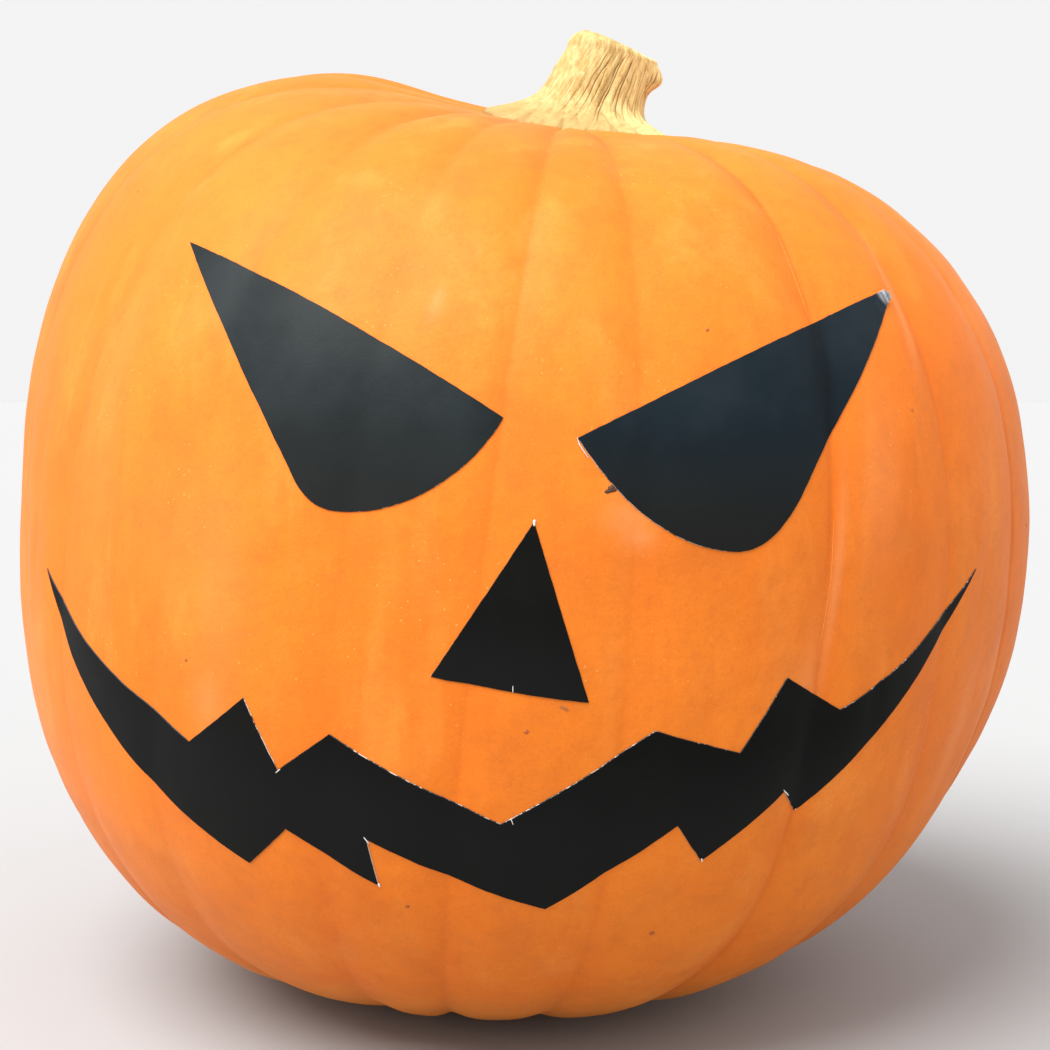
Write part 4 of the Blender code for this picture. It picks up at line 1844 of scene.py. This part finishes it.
            first, second = loop.vert.index, loop.link_loop_next.vert.index
            faces.append((first, first + count, second + count, second))
            slots.append(1)
        sheet.free()
        materials = [self.finish.make(), self.edge_finish]
        piece = new_piece("film_" + self.part.value, np.vstack([top, bottom]), faces, materials, slots)
        # bare film and painted glint on the curled tips
        paint(piece, "bare_and_glint", np.concatenate([bare_and_glint, bare_and_glint]))
        low = smooth_step(flat[:, 1], *self.low_fade)
        paint(piece, "low", np.concatenate([low, low]))
        # painted shade on the film over the grooves
        azimuth, elevation = self.skin.wrap(flat, *self.anchor)
        painted_groove_shade = self.skin.furrows(azimuth, elevation)[1] ** self.groove_shade_tightness
        paint(piece, "painted_groove_shade", np.concatenate([painted_groove_shade, painted_groove_shade]))
        paint(piece, "core", np.concatenate([core, core]))
        self.keep_edges_sharp(piece)
        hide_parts(self.part.value)
        return piece

    def keep_edges_sharp(self, piece: bpy.types.Object) -> None:
        """Shade the cut edge apart from the film's face.

        Args:
            piece: the film's object.
        """
        edge_faces = {polygon.index for polygon in piece.data.polygons if polygon.material_index == 1}
        sharp = {
            tuple(sorted(key))
            for number in edge_faces
            for key in piece.data.polygons[number].edge_keys
        }
        flags = [tuple(sorted(edge.vertices)) in sharp for edge in piece.data.edges]
        piece.data.edges.foreach_set("use_edge_sharp", flags)


@dataclass
class Face:
    """The jack-o'-lantern face: two slanted eyes, a triangle nose and a jagged grin."""

    skin: RibbedSkin
    # painted reflection: the two eyes are one film, but their copies differ in colour and sheen for how each
    # catches the light, greyer on the left and bluer on the right; the nose and mouth's copy is darker
    left_film: FilmFinish = FilmFinish(
        "eye_film_left", (0.004, 0.008, 0.009, 1.0), (0.010, 0.015, 0.016, 1.0), 0.50, 0.145, 0.35
    )
    right_film: FilmFinish = FilmFinish(
        "eye_film_right", (0.004, 0.010, 0.015, 1.0), (0.009, 0.016, 0.021, 1.0), 0.42, 0.10, 0.55
    )
    face_film: FilmFinish = FilmFinish(
        "face_film", (0.0040, 0.0042, 0.0038, 1.0), (0.0060, 0.0060, 0.0054, 1.0), 0.44, 0.045, 0.10
    )

    def films(self) -> list[Film]:
        """The four pieces of film, as drawn on the sheet.

        Returns:
            The films, not yet built.
        """
        edge = CutEdgeFinish().make()
        left = Film(
            self.skin,
            FacePart.EYE_LEFT,
            "eye_film",
            anchor=EYE_LEFT_ANCHOR,
            start=(-68.5, 51.5),
            snips=(
                Snip((42.2, 9.2), ((-45, 43.5), (-20, 36)), core=0.30),
                Snip((2, -22), ((38, -4), (24, -20.5)), core=0.45),
                Snip((-14, -12), ((-6, -22.5), (-10, -18)), core=0.30),
                Snip((-68.5, 51.5), ((-26, 4), (-49, 31)), core=0.15),
            ),
            finish=self.left_film,
            edge_finish=edge,
        )
        right = Film(
            self.skin,
            FacePart.EYE_RIGHT,
            "eye_film",
            anchor=EYE_RIGHT_ANCHOR,
            start=(50.9, 48.6),
            snips=(
                Snip((52.1, 49.9), core=0.5),
                Snip((50.1, 52.6), core=0.6),
                Snip((47.6, 51.2), core=0.6),
                Snip((-49.5, 0.5), ((30, 42.5), (-10, 22)), core=0.38),
                Snip((-8, -27.5), ((-39, -15), (-25, -26.5)), core=0.62),
                Snip((14, -12), ((3, -28.5), (8, -22)), core=0.20),
                Snip((50.9, 48.6), ((22, 4), (37, 27)), core=0.20),
            ),
            finish=self.right_film,
            edge_finish=edge,
            tips=(Tip((51.0, 51.5), 6.0, 0.0020),),
        )
        nose = Film(
            self.skin,
            FacePart.NOSE,
            "face_film",
            anchor=NOSE_ANCHOR,
            start=(0.2, 30.5),
            snips=(
                Snip((19.5, -16), core=0.25),
                Snip((-22.5, -13.5), core=0.50),
                Snip((0.2, 30.5), core=0.36),
            ),
            finish=self.face_film,
            edge_finish=edge,
        )
        mouth = Film(
            self.skin,
            FacePart.MOUTH,
            "face_film",
            anchor=MOUTH_ANCHOR,
            start=(-168, 5.5),
            snips=(
                Snip((-90, -15), ((-148, -5), (-118, -8)), core=0.35),
                Snip((-74, 5), core=0.35),
                Snip((-61, -12), core=0.60),
                Snip((-48, 2), core=0.25),
                Snip((0, -14), core=0.50),
                Snip((38.5, 13.5), core=0.52),
                Snip((63, 6), core=0.44),
                Snip((76.5, 26), core=0.42),
                Snip((96, 13), core=0.36),
                Snip((156, 45), ((116, 20), (137, 30)), core=0.45),
                Snip((84, -17), ((138, 22), (106, -2)), core=0.15),
                Snip((79, -9), core=0.60),
                Snip((55, -26), core=0.25),
                Snip((47, -14), core=0.55),
                Snip((14, -39.5), core=0.20),
                Snip((-34.5, -25), core=0.25),
                Snip((-30, -38.5), core=0.75),
                Snip((-57, -29), core=0.20),
                Snip((-67, -45), core=0.30),
                Snip((-168, 5.5), ((-106, -36), (-144, -20)), core=0.20),
            ),
            finish=self.face_film,
            edge_finish=edge,
        )
        return [left, right, nose, mouth]

    def build(self) -> list[bpy.types.Object]:
        """Make all four films."""
        return [film.build() for film in self.films()]


# ------------------------------------------------------------------ small marks


@dataclass(frozen=True)
class Stroke:
    """A narrow raised line, such as a scar or a sliver of core, along a short path.

    The path is azimuths and elevations in degrees, or millimetres on a sheet with an anchor.
    Width and height are millimetres.
    """

    path: tuple[Flat, ...]
    width: float
    height: float
    anchor: Flat | None = None


@dataclass(frozen=True)
class Fleck:
    """A round healed dot. Azimuth and elevation are degrees, the other sizes millimetres."""

    azimuth: float
    elevation: float
    radius: float
    height: float = 0.12


@dataclass
class Marks:
    """Slivers and dots of one kind, joined into one piece that lies on the skin or the film.

    The stroke profile is places across a stroke and its height there. The fleck profile is shares
    of a dot's radius and its height there, from the rim inwards. A negative height is sunk.
    """

    skin: RibbedSkin
    name: str
    finish: CorkFinish | CoreFinish
    strokes: tuple[Stroke, ...] = ()
    flecks: tuple[Fleck, ...] = ()
    base: float = 0.0
    step: float = 0.8
    sunk: float = 0.00015
    round_steps: int = 16
    least_steps: int = 6
    unevenness: float = 0.35
    taper_slope: float = 5.0
    blunt_end: float = 0.12
    fleck_seed: int = 40
    stroke_profile: tuple[Flat, ...] = ((-1, -1), (-0.6, 0.75), (0, 1), (0.6, 0.75), (1, -1))
    fleck_profile: tuple[Flat, ...] = ((0.85, -1), (1.0, 0.05), (0.55, 0.8))

    def along(self, stroke: Stroke) -> tuple[Points, Points]:
        """A stroke's path, divided evenly.

        Args:
            stroke: the stroke.

        Returns:
            Azimuths and elevations in radians.
        """
        corners = np.array(stroke.path, dtype=float)
        if stroke.anchor is None:
            azimuth, elevation = np.radians(corners[:, 0]), np.radians(corners[:, 1])
        else:
            azimuth, elevation = self.skin.wrap(corners, *stroke.anchor)
        turned = np.diff(azimuth) * np.cos(elevation[1:])
        spans = np.hypot(turned, np.diff(elevation)) * self.skin.girth_radius
        total = np.append(0, np.cumsum(spans))
        count = max(self.least_steps, math.ceil(total[-1] / (self.step * MILLIMETRE)))
        walk = np.linspace(0, total[-1], count + 1)
        return np.interp(walk, total, azimuth), np.interp(walk, total, elevation)

    def lift(self, height: Points | float, share: float) -> Points | float:
        """How far a point of a profile stands off the base, in metres."""
        return height * MILLIMETRE * share if share > 0 else -self.sunk

    def stroke_mesh(self, stroke: Stroke, seed: int) -> Mesh:
        """A tapering, low, closed ridge along a stroke.

        Args:
            stroke: the stroke.
            seed: shifts its unevenness.

        Returns:
            Vertices in the row frame, and faces.
        """
        azimuth, elevation = self.along(stroke)
        count = len(azimuth)
        ahead_az = np.gradient(azimuth) * np.cos(elevation)
        ahead_el = np.gradient(elevation)
        size = np.hypot(ahead_az, ahead_el)
        side_az, side_el = -ahead_el / size / np.cos(elevation), ahead_az / size
        walk = np.linspace(0, 1, count)
        track = np.stack([walk * count * 0.5, 0 * walk, 0 * walk], axis=-1)
        uneven = 1 + self.unevenness * lumps(track, 1.0, seed)
        ends = np.minimum(walk, 1 - walk) * self.taper_slope + self.blunt_end
        taper = np.minimum(1, ends) * uneven
        half = stroke.width / 2 * MILLIMETRE * taper / self.skin.girth_radius
        rings = []
        for across, share in self.stroke_profile:
            turn = azimuth + side_az * half * across
            tilt = elevation + side_el * half * across
            rings.append(self.skin.place(turn, tilt, self.base + self.lift(stroke.height * taper, share)))
        vertices = np.stack(rings, axis=1).reshape(-1, 3)
        wide = len(rings)
        faces = []
        for row in range(count - 1):
            here = row * wide
            for lane in range(wide):
                after = (lane + 1) % wide
                faces.append((here + lane, here + after, here + wide + after, here + wide + lane))
        faces.append(tuple(reversed(range(wide))))
        faces.append(tuple(range((count - 1) * wide, count * wide)))
        return vertices, faces

    def fleck_mesh(self, fleck: Fleck, seed: int) -> Mesh:
        """A low, uneven, closed dome.

        Args:
            fleck: the dot.
            seed: shifts its unevenness.

        Returns:
            Vertices in the row frame, and faces.
        """
        angle = np.linspace(0, FULL_TURN, self.round_steps, endpoint=False)
        ring = np.stack([np.cos(angle), np.sin(angle), 0 * angle], axis=-1)
        uneven = 1 + self.unevenness * lumps(ring, 1.0, seed)
        reach = fleck.radius * MILLIMETRE / self.skin.girth_radius * uneven
        turn, tilt = math.radians(fleck.azimuth), math.radians(fleck.elevation)
        layers = []
        for share, rise in self.fleck_profile:
            azimuth = turn + np.cos(angle) * reach * share / math.cos(tilt)
            elevation = tilt + np.sin(angle) * reach * share
            layers.append(self.skin.place(azimuth, elevation, self.base + self.lift(fleck.height, rise)))
        middle = np.array([turn]), np.array([tilt])
        top = self.skin.place(*middle, self.base + fleck.height * MILLIMETRE)
        low = self.skin.place(*middle, self.base - self.sunk)
        around = self.round_steps
        last = (len(layers) - 1) * around
        faces = []
        for step in range(around):
            after = (step + 1) % around
            for under in range(0, last, around):
                over = under + around
                faces.append((under + step, under + after, over + after, over + step))
            faces.append((last + step, last + after, last + around))
            faces.append((after, step, last + around + 1))
        return np.vstack([*layers, top, low]), faces

    def build(self) -> bpy.types.Object:
        """Make the marks as one piece.

        Returns:
            The finished piece.
        """
        made = [self.stroke_mesh(stroke, seed) for seed, stroke in enumerate(self.strokes)]
        made += [self.fleck_mesh(fleck, seed + self.fleck_seed) for seed, fleck in enumerate(self.flecks)]
        vertices, faces = [], []
        for points, loops in made:
            offset = sum(len(group) for group in vertices)
            vertices.append(points)
            faces += [tuple(corner + offset for corner in loop) for loop in loops]
        piece = new_piece(self.name, np.vstack(vertices), faces, [self.finish.make()])
        upright = bmesh.new()
        upright.from_mesh(piece.data)
        bmesh.ops.recalc_face_normals(upright, faces=upright.faces)
        upright.to_mesh(piece.data)
        upright.free()
        return piece


@dataclass
class Blemishes:
    """Scars, healed dots, a scab, a bruise and slivers of white core; the pale lines along the grooves by
    the right eye are partly painted highlight.
    """

    skin: RibbedSkin
    brown: CorkFinish = CorkFinish("healed_brown", (0.50, 0.12, 0.010, 1.0), (0.36, 0.075, 0.008, 1.0))
    scab: CorkFinish = CorkFinish("scab", (0.10, 0.030, 0.010, 1.0), (0.040, 0.014, 0.008, 1.0))
    bruise: CorkFinish = CorkFinish("bruise", (0.50, 0.135, 0.014, 1.0), (0.40, 0.11, 0.012, 1.0))
    # pale tone of the scar lines, partly painted highlight
    pale: CorkFinish = CorkFinish("scar_and_highlight_line", (0.80, 0.255, 0.046, 1.0), (0.76, 0.215, 0.028, 1.0))
    core: CoreFinish = CoreFinish()
    on_film: float = 0.00030
    core_step: float = 0.4
    dots: tuple[Fleck, ...] = (
        Fleck(15.9, 25.0, 0.55),
        Fleck(41.1, 18.7, 0.60),
        Fleck(1.4, -13.7, 0.72),
        Fleck(-9.0, -33.1, 0.60),
        Fleck(18.5, -34.6, 0.80),
        Fleck(-33.7, -12.2, 0.55),
        Fleck(73.0, 6.0, 0.60),
        Fleck(118.0, 24.0, 0.70),
        Fleck(152.0, -12.0, 0.60),
        Fleck(186.0, 30.0, 0.65),
        Fleck(204.0, -20.0, 0.55),
        Fleck(233.0, 10.0, 0.70),
        Fleck(-66.0, 33.0, 0.50),
    )
    scab_strokes: tuple[Stroke, ...] = (Stroke(((6.2, 8.9), (7.4, 9.3)), 1.2, 0.30),)
    scab_dots: tuple[Fleck, ...] = (Fleck(6.8, 9.3, 0.9, 0.35), Fleck(159.0, 16.0, 1.2, 0.35))
    bruises: tuple[Stroke, ...] = (
        Stroke(((4.2, -11.0), (5.1, -11.4)), 1.5, 0.05),
        Stroke(((-78.4, 36.5), (-74.2, 31.2), (-73.0, 24.4)), 0.70, 0.06),
    )
    # pale raised lines along the grooves; those by the right eye are partly painted highlight
    scar_and_highlight_lines: tuple[Stroke, ...] = (
        Stroke(((28.4, 38.0), (28.4, 33.9), (28.8, 29.3), (29.2, 26.9)), 0.30, 0.05),
        Stroke(((30.3, 8.0), (30.6, 2.0), (30.4, -6.0)), 0.32, 0.05),
        Stroke(((44.7, 39.3), (42.9, 32.4), (43.7, 27.1), (44.7, 22.9)), 0.26, 0.04),
        Stroke(((121.0, 40.0), (120.0, 30.0), (119.6, 18.0)), 0.36, 0.10),
        Stroke(((157.0, 22.0), (156.4, 8.0), (156.2, -4.0)), 0.36, 0.10),
        Stroke(((229.5, 34.0), (228.6, 20.0)), 0.36, 0.10),
    )
    slivers: tuple[Stroke, ...] = (
        Stroke(((0.25, 31.2), (0.3, 29.4)), 0.75, 0.10, NOSE_ANCHOR),
        Stroke(((-0.8, -13.0), (-0.6, -15.0)), 0.28, 0.08, NOSE_ANCHOR),
        Stroke(((-60.2, -11.4), (-61.5, -13.1)), 0.40, 0.08, MOUTH_ANCHOR),
        Stroke(((-33.6, -26.2), (-35.2, -24.4)), 0.42, 0.08, MOUTH_ANCHOR),
        Stroke(((2.4, -12.0), (3.2, -13.8)), 0.30, 0.08, MOUTH_ANCHOR),
        Stroke(((78.5, -8.2), (81.0, -11.1)), 0.45, 0.08, MOUTH_ANCHOR),
        Stroke(((-29.6, -39.0), (-30.1, -37.9)), 0.70, 0.08, MOUTH_ANCHOR),
        Stroke(((55.4, -26.4), (55.0, -25.2)), 0.60, 0.08, MOUTH_ANCHOR),
        Stroke(((84.4, -17.0), (84.1, -15.8)), 0.60, 0.08, MOUTH_ANCHOR),
        Stroke(((-49.7, 0.8), (-49.1, -1.2), (-46.6, -4.8)), 0.28, 0.08, EYE_RIGHT_ANCHOR),
    )

    def build(self) -> list[bpy.types.Object]:
        """Make all the marks, one piece for each kind.

        Returns:
            The finished pieces.
        """
        kinds = (
            Marks(self.skin, "healed_dots", self.brown, flecks=self.dots),
            Marks(self.skin, "scab", self.scab, self.scab_strokes, self.scab_dots),
            Marks(self.skin, "bruise", self.bruise, self.bruises),
            Marks(self.skin, "scar_and_highlight_lines", self.pale, self.scar_and_highlight_lines),
            Marks(
                self.skin,
                "core_slivers",
                self.core,
                self.slivers,
                base=self.on_film,
                step=self.core_step,
            ),
        )
        return [kind.build() for kind in kinds]


# ------------------------------------------------------------------ the studio


@dataclass
class Lamp:
    """A wide, soft, distant light."""

    name: str
    azimuth: float
    elevation: float
    softness: float
    power: float
    tint: tuple[float, float, float] = (1.0, 1.0, 1.0)

    def build(self) -> None:
        """Make the lamp."""
        light = bpy.data.lights.new(self.name, "SUN")
        light.angle = math.radians(self.softness)
        light.energy = self.power
        light.color = self.tint
        lamp = bpy.data.objects.new(self.name, light)
        towards = Vector(heading(math.radians(self.azimuth), math.radians(self.elevation)))
        lamp.rotation_mode = "QUATERNION"
        lamp.rotation_quaternion = towards.to_track_quat("Z", "Y")
        bpy.context.scene.collection.objects.link(lamp)


@dataclass
class Studio:
    """Pale floor, soft light, a bright world and the camera."""

    centre: Vector
    camera_distance: float = 0.72
    camera_elevation: float = 7.0
    aim_offset: tuple[float, float, float] = (-0.0005, 0.0, -0.00495)
    lens: float = 72.9
    floor_size: float = 6.0
    world_colour: Colour = (1.0, 1.0, 1.0, 1.0)
    world_strength: float = 0.90
    lamps: tuple[Lamp, ...] = (
        Lamp("key", -54, 58, 50.0, 5.55),
        Lamp("fill", 55, 50, 60.0, 0.38),
        Lamp("low", -85, 5, 60.0, 0.40),
    )

    def build(self) -> None:
        """Make everything that isn't part of the object."""
        bpy.context.scene.view_settings.view_transform = "Standard"
        self.add_floor()
        self.add_world()
        for lamp in self.lamps:
            lamp.build()
        self.add_camera()

    def add_floor(self) -> None:
        """A flat floor under the resting spot."""
        half = self.floor_size / 2
        mesh = bpy.data.meshes.new("floor")
        corners = [(-half, -half, 0), (half, -half, 0), (half, half, 0), (-half, half, 0)]
        mesh.from_pydata(corners, [], [(0, 1, 2, 3)])
        mesh.materials.append(FloorFinish().make())
        floor = bpy.data.objects.new("floor", mesh)
        bpy.context.scene.collection.objects.link(floor)

    def add_world(self) -> None:
        """Even white light from all round."""
        world = bpy.data.worlds.new("studio")
        world.use_nodes = True
        background = world.node_tree.nodes["Background"]
        background.inputs["Color"].default_value = self.world_colour
        background.inputs["Strength"].default_value = self.world_strength
        bpy.context.scene.world = world

    def add_camera(self) -> None:
        """A hand-held view from just above the girth, square to the face."""
        data = bpy.data.cameras.new("camera")
        data.lens = self.lens
        camera = bpy.data.objects.new("camera", data)
        tilt = math.radians(self.camera_elevation)
        back = Vector((0.0, -math.cos(tilt), math.sin(tilt)))
        camera.location = self.centre + Vector(self.aim_offset) + back * self.camera_distance
        camera.rotation_mode = "QUATERNION"
        camera.rotation_quaternion = back.to_track_quat("Z", "Y")
        bpy.context.scene.collection.objects.link(camera)
        bpy.context.scene.camera = camera


def main() -> None:
    """Build the pumpkin piece by piece, then the studio round it."""
    logging.basicConfig(level=logging.INFO, format="%(name)s: %(message)s")
    skin = RibbedSkin()
    fruit = Fruit(skin)
    fruit.settle()
    LOG.info("radial centre at %s", tuple(round(value, 4) for value in skin.stance.centre))
    fruit.build()
    Stem(skin).build()
    Face(skin).build()
    Blemishes(skin).build()
    Studio(skin.stance.centre.copy()).build()


if __name__ == "__main__":
    main()
